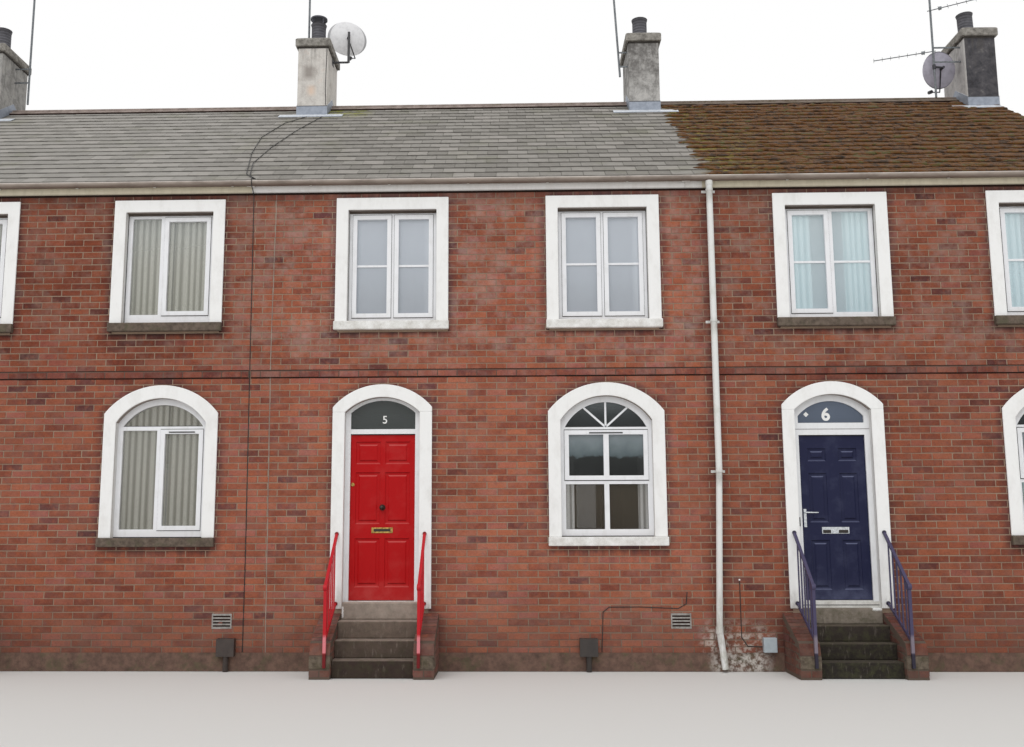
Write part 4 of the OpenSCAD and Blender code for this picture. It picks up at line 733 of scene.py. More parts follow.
# Plain dull finish with soft clouds of a second tone and a fine grain in its surface
def dullFinish(name, first, second, roughness=0.85, cloud=0.1, height=0.0008):
    material, add, shader, onPiece = patterned(name, Roughness=roughness)
    clouds = add("TexNoise", {"Vector": onPiece, "Scale": 1 / cloud, "Detail": 5.0, "Roughness": 0.65})
    grain = add("TexNoise", {"Vector": onPiece, "Scale": 1000 / 4, "Detail": 4.0, "Roughness": 0.6})
    tones = add("ValToRGB", [clouds], stops=[(0.32, first), (0.68, second)])
    dressed(add, shader, tones, [], [(grain, height, 0.7)])
    return material


slate = slateMaterial("weathered slate")
moss = mossMaterial()
mortarGrey = dullFinish("grey bedding mortar", "#57524c", "#77716a", height=0.002)


# Points given by distance along the row, up the slope and above the slate plane
def onSlope(x, up, above, rear=False):
    cosP, sinP = math.cos(row["pitch"]), math.sin(row["pitch"])
    reach = -row["slateOver"] + up * cosP - above * sinP
    z = row["slateEdgeZ"] + up * sinP + above * cosP
    y = rearY - reach if rear else frontY + reach
    return np.stack([x, y + 0 * x, z + 0 * x], axis=-1)


# Slates in rows: each is a thin wedge whose tail edge stands at the slate plane and whose head
# dips under the next row; the tail edge is chipped by a small random amount
def slateRows(name, rear, seed, node):
    rng = np.random.default_rng(seed)
    rows = int(math.ceil(slopeRun / roof["gauge"]))
    pitchX = roof["width"] + roof["gap"]
    perRow = int(math.ceil(2 * row["endX"] / pitchX)) + 1
    r, c = np.meshgrid(np.arange(rows), np.arange(perRow), indexing="ij")
    x0 = (-row["endX"] + (c - 0.5 * (r % 2)) * pitchX).ravel()
    foot = (r * roof["gauge"]).ravel()
    x1 = np.minimum(x0 + roof["width"], row["endX"])
    x0 = np.maximum(x0, -row["endX"])
    keep = x1 - x0 > 0.03
    x0, x1, foot = x0[keep], x1[keep], foot[keep]
    n, m = len(x0), roof["tailPoints"]
    t = np.linspace(0, 1, m)
    slip = rng.normal(0, 0.0022, n).clip(-0.004, 0.004)
    dip = rng.uniform(0, 0.003, n)
    chip = rng.random((n, m)) ** 3 * roof["chip"]
    head = np.minimum(foot + roof["long"], slopeRun - 0.002)
    x = x0[:, None] + (x1 - x0)[:, None] * t
    low = foot[:, None] + slip[:, None] + chip
    low[foot < 0.01] = 0.001 + chip[foot < 0.01]
    fall = roof["tail"] / roof["gauge"]
    high = head[:, None] + 0 * t
    length = high - low
    topTail = -dip[:, None] * t - 0.0005
    rings = []
    for up, above in (
        (low, topTail - roof["tail"] * 0.85), (low, topTail), (high, topTail - fall * length),
        (high, topTail - fall * length - roof["tail"] * 0.6)
    ):
        rings.append(onSlope(x, up, above, rear))
    verts = np.stack(rings, axis=1).reshape(-1, 3)
    step = np.arange(m - 1)
    quads = []
    for ring in range(4):
        a, b = ring * m, ((ring + 1) % 4) * m
        quads.append(np.stack([a + step, a + step + 1, b + step + 1, b + step], axis=1))
    caps = np.array([[0, m, 2 * m, 3 * m], [4 * m - 1, 3 * m - 1, 2 * m - 1, m - 1]])
    one = np.concatenate(quads + [caps])
    if rear:
        one = one[:, ::-1]
    faces = (one[None] + (np.arange(n) * 4 * m)[:, None, None]).reshape(-1, 4)
    fromTail = np.stack([0 * length, 0 * length, length, length], axis=1).ravel()
    return addPiece(
        name, verts, faces, slate, node, node=node,
        attributes={"tone": np.repeat(rng.random(n), 4 * m), "tail": fromTail}
    )


# Battens, felt and rafters under the slates: the CAD slope's outline with its top lowered,
# carried along the row
def roofDeck(name, rear, node):
    lower = roof["deckLower"] / math.cos(row["pitch"])
    tanP = math.tan(row["pitch"])
    drop = row["roofDepth"] / math.cos(row["pitch"])
    edge = row["slateEdge"] / math.cos(row["pitch"])
    planeZ = lambda y: row["slateEdgeZ"] + (y + row["slateOver"]) * tanP
    over = -row["slateOver"]
    half = row["halfDepth"]
    outline = np.array([
        [over, planeZ(over) - lower], [half, planeZ(half) - lower], [half, planeZ(half) - drop],
        [0, planeZ(0) - drop], [0, planeZ(0) - edge], [over, planeZ(over) - edge]
    ])
    y = rearY - outline[:, 0] if rear else frontY + outline[:, 0]
    ends = np.concatenate(
        [np.stack([np.full(6, x), y, outline[:, 1]], axis=1) for x in (-row["endX"], row["endX"])]
    )
    walls = [[i, (i + 1) % 6, 6 + (i + 1) % 6, 6 + i] for i in range(6)]
    caps = [[0, 5, 4, 1], [4, 3, 2, 1], [6, 7, 10, 11], [10, 7, 8, 9]]
    cleaned(addPiece(name, ends, np.array(walls + caps), mortarGrey, node, node=node).data)


mossBeds = {"count": 4200, "from": 2.80, "to": 7.8, "small": 0.016, "large": 0.075, "around": 8, "up": 3}


# Moss cushions: low domes, radius times a bumpy factor round them, flattened to a third
def mossCushions(name, rear, seed, node, count):
    rng = np.random.default_rng(seed)
    x = mossBeds["from"] + (mossBeds["to"] - mossBeds["from"]) * rng.random(count) ** 0.95
    line = rng.integers(0, int(slopeRun / roof["gauge"]), count) * roof["gauge"]
    up = np.clip(line + np.abs(rng.normal(0, 0.05, count)), 0.03, slopeRun - 0.12)
    size = mossBeds["small"] + (mossBeds["large"] - mossBeds["small"]) * rng.random(count) ** 2.2
    long = size * rng.uniform(1.0, 2.6, count)
    a = np.linspace(0, 2 * np.pi, mossBeds["around"], endpoint=False)
    e = np.linspace(0, 0.5 * np.pi, mossBeds["up"] + 1)[:-1]
    wobble = rng.uniform(0.75, 1.2, (count, 1, len(a)))
    ring = np.cos(e)[None, :, None] * wobble
    px = (x[:, None, None] + long[:, None, None] * ring * np.cos(a)).clip(-row["endX"], row["endX"])
    pu = up[:, None, None] + size[:, None, None] * ring * np.sin(a)
    height = size * rng.uniform(0.25, 0.42, count)
    pz = -0.006 + height[:, None, None] * np.sin(e)[None, :, None] + 0 * px
    tip = np.stack([x, up, -0.006 + height], axis=1)[:, None]
    shell = np.stack([px, pu, pz], axis=-1).reshape(count, -1, 3)
    local = np.concatenate([shell, tip], axis=1)
    verts = onSlope(local[..., 0], local[..., 1], local[..., 2], rear).reshape(-1, 3)
    k, around = np.arange(len(a)), len(a)
    after = (k + 1) % around
    tris = []
    for ringNo in range(len(e) - 1):
        lo, hi = ringNo * around, (ringNo + 1) * around
        tris += [
            np.stack([lo + k, lo + after, hi + after], axis=1),
            np.stack([lo + k, hi + after, hi + k], axis=1)
        ]
    topRing = (len(e) - 1) * around
    tris.append(np.stack([topRing + k, topRing + after, np.full(around, len(e) * around)], axis=1))
    tris.append(np.stack([np.zeros(around - 2, int), k[2:], k[1:-1]], axis=1))
    one = np.concatenate(tris)
    if rear:
        one = one[:, ::-1]
    each = len(e) * around + 1
    faces = (one[None] + (np.arange(count) * each)[:, None, None]).reshape(-1, 3)
    return addPiece(name, verts, faces, moss, node, smooth=True)


for label, rear, seed in (("front", False, 21), ("rear", True, 22)):
    node = f"roof_{label}_slope"
    roofDeck(label + "RoofDeck", rear, node)
    slateRows(label + "Slates", rear, seed, node)
    mossCushions(label + "Moss", rear, seed + 10, node, mossBeds["count"] // (2 if rear else 1))

# Mortar bed under the ridge tiles, in black: it paints the shadow line under the tiles' edge
ridgeBeds = [
    [a, b, frontY + 3.458, frontY + 3.4672, 7.982, 8.0]
    for a, b in ((-7.353, -2.767), (-2.293, 2.293), (2.767, 7.353))
]
addBoxes("ridgeBeddingShadowLine", ridgeBeds, 0.002, shadowBlack, "ridge_tiles")
print("roof done")

# Windows: frames, panes, seals, bars and vents

# Extruded window plastic: smooth cool white with a slight sheen and a little grime in the wet
def windowPlastic(name, base="#eeeff2"):
    material, add, shader, onPiece = patterned(name, Roughness=0.35, IOR=1.53)
    stretched = add("Mapping", {"Vector": onPiece, "Scale": (1.0, 1.0, 0.4)})
    darkMarks = add("TexNoise", {"Vector": stretched, "Scale": 1000 / 70, "Detail": 5.0, "Roughness": 0.65})
    ripple = add("TexNoise", {"Vector": onPiece, "Scale": 1000 / 100, "Detail": 2.0, "Roughness": 0.5})
    dressed(add, shader, base, [
        (add("ValToRGB", [darkMarks], stops=[(0.5, 0.0), (0.85, 0.3)]), "#a9a69d")
    ], [(ripple, 0.0003, 0.4)])
    return material


# Sealed double glazing: a clear pane whose outer face carries a painted reflection of the sky, with
# dust, drawn as a share of opaque colour; stops run up the pane from low to high
def paneGlass(name, film, share, foot=0.0, head=1.0, mottle=0.3, cloud=0.5):
    material, add, shader, onPiece = patterned(name, Roughness=0.06, Specular_IOR_Level=0.25, Alpha=share)
    z = add("SeparateXYZ", [onPiece]).outputs["Z"]
    clouds = add("TexNoise", {"Vector": onPiece, "Scale": 1 / cloud, "Detail": 4.0, "Roughness": 0.6})
    ripple = add("TexNoise", {"Vector": onPiece, "Scale": 1000 / 350, "Detail": 2.0, "Roughness": 0.4})
    drift = add("Math", [clouds, 0.5], operation="SUBTRACT")
    up = add("MapRange", [z, foot, head, 0.0, 1.0])
    mixed = add("Math", [drift, mottle, up], operation="MULTIPLY_ADD")
    dressed(add, shader, add("ValToRGB", [mixed], stops=film), [], [(ripple, 0.0005, 0.3)])
    return material


uPlastic = windowPlastic("white window plastic")
sealAndShadeBlack = newMaterial("black rubber seal and painted shade", Base_Color="#1d1b1b", Roughness=0.7)[0]
# Dark packing: painted shade under the window heads and along the transom step
packing = dullFinish("grey packing strip in painted shade", "#4c423c", "#5f554d", 0.85)

# Panes by house: colours of the painted sky reflection and dust up the pane, and how much of what is behind
# them they hide
upperReflections = [
    ([(0.0, "#98998f"), (0.55, "#a9aaa3"), (1.0, "#b6bab8")], 0.45),
    ([(0.0, "#bdc3cb"), (0.5, "#d0d7e0"), (1.0, "#dae1ea")], 0.62),
    ([(0.0, "#c8d8df"), (0.6, "#d6e4ea"), (1.0, "#e0edf2")], 0.55),
]
clearReflection = ([(0.0, "#50493e"), (0.5, "#5a5246"), (1.0, "#5d564a")], 0.35)
archedReflections = [([(0.0, "#84837a"), (0.6, "#93928a"), (1.0, "#999992")], 0.45), clearReflection, clearReflection]
hungReflection = (
    [(0.0, "#1b1d1d"), (0.44, "#282b2a"), (0.50, "#5b676b"), (0.8, "#7d888c"), (1.0, "#8f989c")], 0.85
)
skyReflection = ([(0.0, "#2d3031"), (0.5, "#404546"), (1.0, "#6a7072")], 0.75)
fanReflections = [([(0.0, "#84837a"), (1.0, "#93928a")], 0.45), skyReflection, skyReflection]
doorReflections = [
    ([(0.0, "#484c4b"), (1.0, "#565a59")], 0.82), ([(0.0, "#484c4b"), (1.0, "#545857")], 0.82),
    ([(0.0, "#5b6575"), (1.0, "#6a7587")], 0.85)
]

for h in range(3):
    lo, hi = row["party"][h:h + 2]
    inHouse = lambda x, y, z, foot=0.0, head=9.0: (x > lo) & (x < hi) & (z > foot) & (z < head)
    archedHead, transom = (2.6, 2.65) if h == 0 else (2.03, 2.06)
    panes = [
        ("upperPanes", "upper_window_glass", "upper pane glass", (*upperReflections[h], 4.0, 5.15), (0.0, 9.0)),
        ("archedPanes", "arched_window_glass", "arched pane glass",
         (*archedReflections[h], 1.55, archedHead), (0.0, transom)),
        ("fanPanes", "arched_window_glass", "fanlight glass", (*fanReflections[h], 2.68, 2.96), (2.67, 9.0)),
        ("hungPanes", "arched_window_glass", "top-hung pane glass",
         (*hungReflection, 2.13, 2.593, 0.35, 0.16), (2.06, 2.65)),
        ("doorFanPane", "fanlight_glass", "door fanlight glass", (*doorReflections[h], 2.69, 2.97), (0.0, 9.0)),
    ]
    for label, node, glassName, film, (foot, head) in panes:
        if h > 0 or label != "hungPanes":
            glass = paneGlass(f"{glassName} {h + 1}", *film)
            carried(f"{label}{h + 1}", node, glass, keep=lambda x, y, z: inHouse(x, y, z, foot, head))

# Upper windows, from the CAD model's frame sizes: by house how far the mullion is off the middle,
# how high the foot rail is and which of the two lights opens
windows = {
    "edge": 0.46, "mullionHalf": 0.0275, "mullion": [-0.095, 0.0, 0.015],
    "footRail": [0.115, 0.068, 0.080], "opens": [(False, True), (True, True), (True, False)],
    "sill": 3.905, "head": 5.234, "rail": 0.055, "half": 0.515, "lap": 0.010,
}
frameFace, glassFace = frontY + 0.0705, frontY + 0.0935


# A black rubber line round an opening light, wide enough to paint the shade line between sash and
# frame too, as four thin strips just outside its sash
def sealRing(x0, x1, z0, z1, side=0.004, foot=0.007):
    y0, y1 = frontY + 0.0665, frontY + 0.0712
    lap = windows["lap"]
    x0, x1, z0, z1 = x0 - lap, x1 + lap, z0 - lap, z1 + lap
    return [
        [x0 - side, x0, y0, y1, z0, z1], [x1, x1 + side, y0, y1, z0, z1],
        [x0 - side, x1 + side, y0, y1, z1, z1 + foot], [x0 - side, x1 + side, y0, y1, z0 - foot, z0],
    ]


sealsAndShade, headShadeStrips, barBoxes = [], [], []
bars = {"width": 0.026, "thick": 0.010, "midZ": 4.58}
for h, party in enumerate(houses):
    z0, z1 = windows["sill"], windows["head"]
    for middle in (party + row["leftBay"], party + row["rightBay"]):
        left, right = middle - windows["half"], middle + windows["half"]
        # A dark packing strip under each head that paints the shade on the frame under the soffit
        headShadeStrips.append([left, right, frontY + 0.048, frameFace, z1 - 0.024, z1])
        # Black strips down the frame's sides and along its foot: painted shade lines where it meets the
        # reveal and sill
        sealsAndShade += [[x - 0.005, x + 0.005, frontY + 0.060, frameFace, z0, z1] for x in (left, right)]
        sealsAndShade.append([left, right, frontY + 0.062, frameFace, z0, z0 + 0.012])
        for side, opens in zip((-1, 1), windows["opens"][h]):
            outer = middle + side * windows["edge"]
            inner = middle + windows["mullion"][h] + side * windows["mullionHalf"]
            a, b = min(outer, inner), max(outer, inner)
            if opens:
                sealsAndShade += sealRing(a, b, z0 + windows["footRail"][h], z1 - windows["rail"])
            if h > 0:
                cut = 0.04 if opens else 0.0
                barBoxes.append([
                    a + cut, b - cut, glassFace - bars["thick"], glassFace,
                    bars["midZ"] - bars["width"] / 2, bars["midZ"] + bars["width"] / 2
                ])
    if h == 0:
        sealsAndShade += sealRing(middle - 0.0105, middle + 0.46, 1.545, 2.667)
    else:
        sealsAndShade += sealRing(middle - 0.46, middle + 0.46, 2.09, 2.633, foot=0.009)
    # Black strip at the foot of the arched window's frame: a painted shade line
    sealsAndShade.append([left, right, frontY + 0.062, frameFace, 1.45, 1.461])
addBoxes("rubberSealsAndShadeLines", sealsAndShade, 0.001, sealAndShadeBlack, "upper_window_frames")
addBoxes("headPackingShade", headShadeStrips, 0.002, packing, "upper_window_frames")
addBoxes("upperWindowBars", barBoxes, 0.003, uPlastic, "upper_window_frames")


# Flat bar between two points of a pane, as an upright box turned to its direction
def slopingBar(start, end, width, thick, face):
    start, end = np.array(start), np.array(end)
    run = end - start
    side = np.array([-run[1], run[0]]) / np.linalg.norm(run) * width / 2
    base = np.array([start - side, end - side, end + side, start + side])
    rings = [(base, 0.0), (base, 0.7), (base.mean(axis=0) + (base - base.mean(axis=0)) * 0.985, 1.0)]
    return np.concatenate(
        [np.stack([p[:, 0], np.full(4, face - thick * d), p[:, 1]], axis=1) for p, d in rings]
    )


# Glazing bars of a fanlight run from the middle of its foot to the arc: r^2 + 2 r sin(a) d = R^2 - d^2
fan = {"half": 0.46, "rise": 0.286, "foot": 2.678, "angles": (42, 90, 138), "width": 0.022}
fanRadius = (fan["half"] ** 2 + fan["rise"] ** 2) / (2 * fan["rise"])
fanDrop = fanRadius - fan["rise"]
fans = []
for h in (1, 2):
    hub = (row["party"][h] + row["rightBay"], fan["foot"])
    for angle in fan["angles"]:
        s, c = math.sin(math.radians(angle)), math.cos(math.radians(angle))
        reach = -s * fanDrop + math.sqrt((s * fanDrop) ** 2 + fanRadius ** 2 - fanDrop ** 2)
        fans.append(
            slopingBar(hub, (hub[0] + reach * c, hub[1] + reach * s), fan["width"], 0.01, glassFace)
        )
addPiece("fanlightBars", np.concatenate(fans), ringFaces(len(fans), 3), uPlastic, "arched_window_frames")

# Trickle vents in the heads of the opening lights, and a painted shade line along each fanlight's foot
ventsAndShadeLines = []
for h, middle, half, level in ((1, 0.0, 0.19, 2.612), (2, 0.0, 0.19, 2.612), (0, 0.225, 0.15, 2.646)):
    x = row["party"][h] + row["rightBay"]
    left, right = x + middle - half, x + middle + half
    ventsAndShadeLines.append([left, right, frontY + 0.052, frontY + 0.0585, level - 0.007, level + 0.007])
    foot = 2.712 if h == 0 else fan["foot"]
    ventsAndShadeLines.append([x - fan["half"], x + fan["half"], glassFace - 0.004, glassFace, foot, foot + 0.009])
ventAndShadeDark = dullFinish("dark vent plastic and painted shade", "#2b2b2b", "#3c3c3c", 0.5)
addBoxes("trickleVentsAndShadeLines", ventsAndShadeLines, 0.002, ventAndShadeDark, "arched_window_frames")

# Plain house numbers stuck on the fanlights, and a small lozenge beside one of them
numberWhite = dullFinish("white number film", "#ececea", "#f4f4f2", 0.5, height=0.0001)


# A numeral as a thin extruded outline of a given height, its middle at a place on the glass
def numberOnGlass(name, sign, high, middleX, middleZ, bold):
    curve = bpy.data.curves.new(name + "Outline", "FONT")
    curve.body = sign
    curve.size = 1.0
    curve.offset = bold
    curve.extrude = 0.02
    curve.resolution_u = 6
    holder = placed(name + "Outline", curve)
    mesh = bpy.data.meshes.new_from_object(holder.evaluated_get(bpy.context.evaluated_depsgraph_get()))
    bpy.data.objects.remove(holder)
    co = np.empty(len(mesh.vertices) * 3)
    mesh.vertices.foreach_get("co", co)
    co = co.reshape(-1, 3)
    low, top = co.min(axis=0), co.max(axis=0)
    scale = high / (top[1] - low[1])
    flat = (co - (low + top) / 2) * np.array([scale, scale, 0.025])
    place = np.stack([middleX + flat[:, 0], glassFace - 0.0006 - flat[:, 2], middleZ + flat[:, 1]], axis=1)
    mesh.vertices.foreach_set("co", place.ravel())
    mesh.name = name
    mesh.materials.clear()
    mesh.materials.append(numberWhite)
    piece = placed(name, mesh)
    cleaned(mesh, 1e-6)
    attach(piece, "row")


numberOnGlass("numberFive", "5", 0.088, -0.947, 2.778, 0.006)
numberOnGlass("numberSix", "6", 0.152, 4.049, 2.812, 0.035)
lozenge = [
    (3.827 + 0.03 * dx, glassFace - d, 2.810 + 0.03 * dz)
    for d in (0.0, 0.0008, 0.001) for dx, dz in ((0, -1), (1, 0), (0, 1), (-1, 0))
]
addPiece("fanlightLozenge", lozenge, ringFaces(1, 3), numberWhite, "fanlight_glass")

# Painted shadow: a black strip in the gap over each door leaf, and a dark line that paints the shade
# of the fine step in the last house's deep transom
gaps = [
    [p + row["doorBay"] - 0.368, p + row["doorBay"] + 0.368, frontY + 0.086, frontY + 0.0955, z - 0.010, z]
    for p, z in zip(row["party"], (2.613, 2.613, 2.576))
]
addBoxes("doorHeadShadowGaps", gaps, 0.001, sealAndShadeBlack, "door_frame_heads")
mould = [[3.67, 4.52, frontY + 0.066, frontY + 0.072, 2.640, 2.644]]
addBoxes("transomStepShade", mould, 0.001, packing, "door_frame_heads")
print("panes, bars and seals done")

# Curtains

# Woven curtain or net: ribs in the weave, drawn 10 mm apart because real threads are too fine to
# show, each sheet painted darker in its folds' hollows as shade, and a painted glow that stands for
# daylight through the cloth
def curtainCloth(name, pale, deep, paintedGlow):
    material, add, shader, onPiece = patterned(
        name, Roughness=0.95, Specular_IOR_Level=0.1, Sheen_Weight=0.2, Emission_Strength=paintedGlow
    )
    fold = add("Attribute", attribute_name="fold").outputs["Fac"]
    sockets = {"Vector": onPiece, "Scale": 1000 / 32, "Distortion": 1.5}
    weave = add("TexWave", sockets, bands_direction="Z")      # bands 2 pi / 20 of 32 mm apart
    # Painted shade in the folds' hollows; the same tones glow as painted light
    folds = add("ValToRGB", [fold], stops=[(0.25, pale), (0.95, deep)])
    shader.id_data.links.new(folds.outputs["Color"], shader.inputs["Emission Color"])
    drift = add("TexNoise", {"Vector": onPiece, "Scale": 1000 / 60, "Detail": 3.0, "Roughness": 0.6})
    dressed(add, shader, folds, [
        (0.25, add("ValToRGB", [drift], stops=[(0.35, 0.8), (0.65, 1.05)]), "MULTIPLY")
    ], [(weave, 0.0004, 0.3)])
    return material


cloths = {
    "nets": curtainCloth("beige net", "#f2f1e8", "#7b796c", 0.32),
    "white": curtainCloth("white curtain", "#f4f5f4", "#a2a3a2", 0.35),
    "aqua": curtainCloth("pale aqua curtain", "#e0f4f3", "#79a5a5", 0.42),
}
pleat = {"wave": 0.075, "depth": 0.0074, "perWave": 12, "rows": 26}


# Hanging sheet: a wave across (one fold each 75 mm, edges and drift a little random) that runs
# from rail to hem
def curtainSheet(name, box, cloth, seed):
    x0, x1, middleY, foot, top = box
    rng = np.random.default_rng(seed)
    waves = max(2, round((x1 - x0) / pleat["wave"]))
    u = np.linspace(0, 1, waves * pleat["perWave"] + 1)
    v = np.linspace(0, 1, pleat["rows"])
    uu, vv = np.meshgrid(u, v)
    turn = 2 * np.pi * waves * uu + 0.7 * np.interp(
        uu, np.linspace(0, 1, waves + 1), rng.normal(0, 1, waves + 1)
    ) * (0.6 + 0.4 * vv)
    size = pleat["depth"] * (0.75 + 0.25 * vv) * (
        1 - 0.25 * rng.random(waves + 1)[np.minimum((uu * waves).astype(int), waves)]
    )
    x = x0 + (x1 - x0) * uu
    y = frontY + middleY + size * np.sin(turn)
    z = top + (foot - top) * vv
    verts = np.stack([x, y, z], axis=-1)
    m, k = len(v), len(u)
    corner = (np.arange(m - 1)[:, None] * k + np.arange(k - 1)[None]).ravel()
    faces = np.stack([corner, corner + k, corner + k + 1, corner + 1], axis=1)
    piece = addPiece(
        name, verts.reshape(-1, 3), faces, cloths[cloth], "curtains", node="curtains", smooth=True,
        attributes={"fold": (0.5 + 0.5 * np.sin(turn)).ravel()}
    )


upper, lower, nets = (0.186, 3.945, 5.2037), (0.186, 1.490, 2.6817), (0.270, 1.410, 3.0607)
hangings = [
    ("nets", upper, [(-6.410, -5.944), (-5.925, -5.460), (-3.970, -3.504), (-3.486, -3.020)]),
    ("nets", nets, [(-4.050, -3.506), (-3.484, -2.940)]),
    ("white", upper, [(-0.514, -0.400), (1.926, 2.040)]),
    ("white", lower, [(1.090, 1.205), (1.925, 2.040)]),
    ("aqua", upper, [(3.710, 3.995), (4.375, 4.660), (6.150, 6.435), (6.815, 7.100)]),
    ("aqua", lower, [(6.150, 6.265), (6.985, 7.100)]),
]
for group, (cloth, (middleY, foot, top), spans) in enumerate(hangings):
    for n, (x0, x1) in enumerate(spans):
        curtainSheet(
            f"curtain{group + 1}{'ABCD'[n]}", (x0, x1, middleY, foot, top), cloth, 60 + 10 * group + n
        )
print("curtains done")

# Doors

# Door leaf measures in millimetres from its foot: stiles, the middle muntin and (foot, height) of
# each pair of panels, and the moulding's section as distance in from the panel's edge and depth
leaf = {
    "foot": 0.756, "front": frontY + 0.097, "back": frontY + 0.141,
    "out": [0, 3, 10, 16, 30, 34, 44, 52], "deep": [0, 7, 9.5, 11, 11, 10, 4, 2.5],
    "older": (1.850, 74, 56, [(143, 539), (842, 581), (1517, 254)]),
    "newer": (1.813, 108, 140, [(109, 541), (846, 546), (1527, 143)]),
}


# Old gloss paint on a moulded leaf: brush marks, dust in clouds and low down, a painted highlight on
# faces that look up and painted shade on faces that look down, no sharp glare
def doorPaint(name, colour, dustAndHighlight, shadow, rough=0.42):
    material, add, shader, onPiece = patterned(name, Roughness=rough, Specular_IOR_Level=0.18)
    stretched = add("Mapping", {"Vector": onPiece, "Scale": (1.0, 1.0, 0.08)})
    brush = add("TexNoise", {"Vector": stretched, "Scale": 1000 / 12, "Detail": 3.0, "Roughness": 0.6})
    dust = add("TexNoise", {"Vector": onPiece, "Scale": 1000 / 250, "Detail": 5.0, "Roughness": 0.65})
    z = add("SeparateXYZ", [onPiece]).outputs["Z"]
    low = (
        add("MapRange", [z, 1.0, 0.78, 0.0, 0.35]), add("ValToRGB", [dust], stops=[(0.4, 0.3), (0.65, 1.0)])
    )
    facing = add("SeparateXYZ", [add("NewGeometry").outputs["Normal"]]).outputs["Z"]
    dressed(add, shader, colour, [
        (add("ValToRGB", [dust], stops=[(0.5, 0.0), (0.75, 0.16)]), dustAndHighlight), (low, dustAndHighlight),
        # Faces that look up get a painted highlight, faces that look down painted shade
        (add("MapRange", [facing, 0.15, 0.6, 0.0, 0.8]), dustAndHighlight),
        (add("MapRange", [facing, -0.15, -0.6, 0.0, 0.6]), shadow)
    ], [(brush, 0.0005, 0.5)])
    return material


# Moulded panel door: grid lines at every distance of the moulding's section, depth there from the
# nearest panel edge, each cell split so the mitres stay sharp
def mouldedLeaf(name, node, body, middleX, half, design, material):
    high, stile, muntin, rows = design
    stile = stile / 1000 + half - 0.381
    muntin = muntin / 1000
    out, deep = np.array(leaf["out"]) / 1000, np.array(leaf["deep"]) / 1000
    spans = [(-half + stile, -muntin / 2), (muntin / 2, half - stile)]
    heights = [(a / 1000, (a + b) / 1000) for a, b in rows]
    lines = [[-half, half]] + [part for a, b in spans for part in (a + out, b - out)]
    xs = np.unique(np.round(np.concatenate(lines), 6))
    lines = [[0, high]]
    for a, b in heights:
        near = out[out < (b - a) / 2]
        lines += [a + near, b - near]
    zs = np.unique(np.round(np.concatenate(lines), 6))
    xx, zz = np.meshgrid(xs, zs)
    depth = np.zeros_like(xx)
    for a, b in spans:
        for c, d in heights:
            fromEdge = np.minimum(np.minimum(xx - a, b - xx), np.minimum(zz - c, d - zz))
            depth = np.maximum(depth, np.interp(fromEdge, out, deep))
    k, m = len(xs), len(zs)
    place = np.stack([middleX + xx, 0 * xx, leaf["foot"] + zz], axis=-1).reshape(-1, 3)
    front, back = place.copy(), place.copy()
    front[:, 1], back[:, 1] = leaf["front"] + depth.ravel(), leaf["back"] - depth.ravel()
    a = (np.arange(m - 1)[:, None] * k + np.arange(k - 1)[None]).ravel()
    b, c, d = a + 1, a + k + 1, a + k
    flat = depth.ravel()
    crease = np.abs(flat[a] - flat[c]) >= np.abs(flat[b] - flat[d])
    tris = np.concatenate([
        np.where(crease[:, None], np.stack([a, b, c], axis=1), np.stack([a, b, d], axis=1)),
        np.where(crease[:, None], np.stack([a, c, d], axis=1), np.stack([b, c, d], axis=1))
    ])
    size = k * m
    border = np.concatenate([
        np.arange(k - 1), k * np.arange(1, m) - 1, (m - 1) * k + np.arange(k - 1, 0, -1),
        k * np.arange(m - 1, 0, -1)
    ])
    after = np.roll(border, -1)
    rim = np.concatenate([
        np.stack([border, border + size, after + size], axis=1),
        np.stack([border, after + size, after], axis=1)
    ])
    addPiece(
        name, np.concatenate([front, back]), np.concatenate([tris, tris[:, ::-1] + size, rim]), material,
        node, body=body, node=node
    )


doorPaints = {
    "green": doorPaint("green door paint", "#24463a", "#6f786c", "#10231c", 0.35),
    "red": doorPaint("red door gloss", "#ae0308", "#c25d58", "#5c0206"),
    "navy": doorPaint("navy door gloss", "#1e213e", "#6f7490", "#0b0c19"),
}
for party, side, body, half, design, paint in zip(
    houses, ("left", "middle", "right"), ("row", "middle_door", "right_door"), (0.388, 0.381, 0.381),
    ("older", "older", "newer"), ("green", "red", "navy")
):
    mouldedLeaf(
        side + "Leaf", side + "_door", body, party + row["doorBay"], half, leaf[design], doorPaints[paint]
    )


# Handled metal: bright where it's touched, dull and spotted elsewhere
def metal(name, bright, dull, roughness=0.3, metallic=1.0):
    material, add, shader, onPiece = patterned(name, Metallic=metallic, Roughness=roughness)
    wear = add("TexNoise", {"Vector": onPiece, "Scale": 1000 / 20, "Detail": 5.0, "Roughness": 0.65})
    dressed(
        add, shader, add("ValToRGB", [wear], stops=[(0.35, dull), (0.6, bright)]), [], [(wear, 0.0004, 0.5)]
    )
    return material


brass = metal("worn brass", "#c9a962", "#7a6238", 0.38)
bronze = metal("dark bronze knob", "#4a3f3a", "#2a2421", 0.4, 0.8)
chrome = metal("polished chrome", "#d7dadd", "#a9adb1", 0.2)
hingeSteel = metal("dull steel", "#b5b5b1", "#83827e", 0.4)
outer = lambda x, y, z: y < frontY + 0.12
knuckles = lambda x, y, z: y > frontY + 0.12
carried(
    "brassLetterPlate", "middle_door_fittings", brass, 0.0015,
    keep=lambda x, y, z: outer(x, y, z) & ((z > 1.45) & (z < 1.7) | (z > 2.0)), body="middle_door"
)
carried(
    "bronzeKnob", "middle_door_fittings", bronze,
    keep=lambda x, y, z: outer(x, y, z) & (z > 1.7) & (z < 2.0), body="middle_door", smooth=True
)
carried("middleHinges", "middle_door_fittings", hingeSteel, keep=knuckles, body="middle_door", smooth=True)
carried("chromeFurniture", "right_door_fittings", chrome, 0.0015, keep=outer, body="right_door")
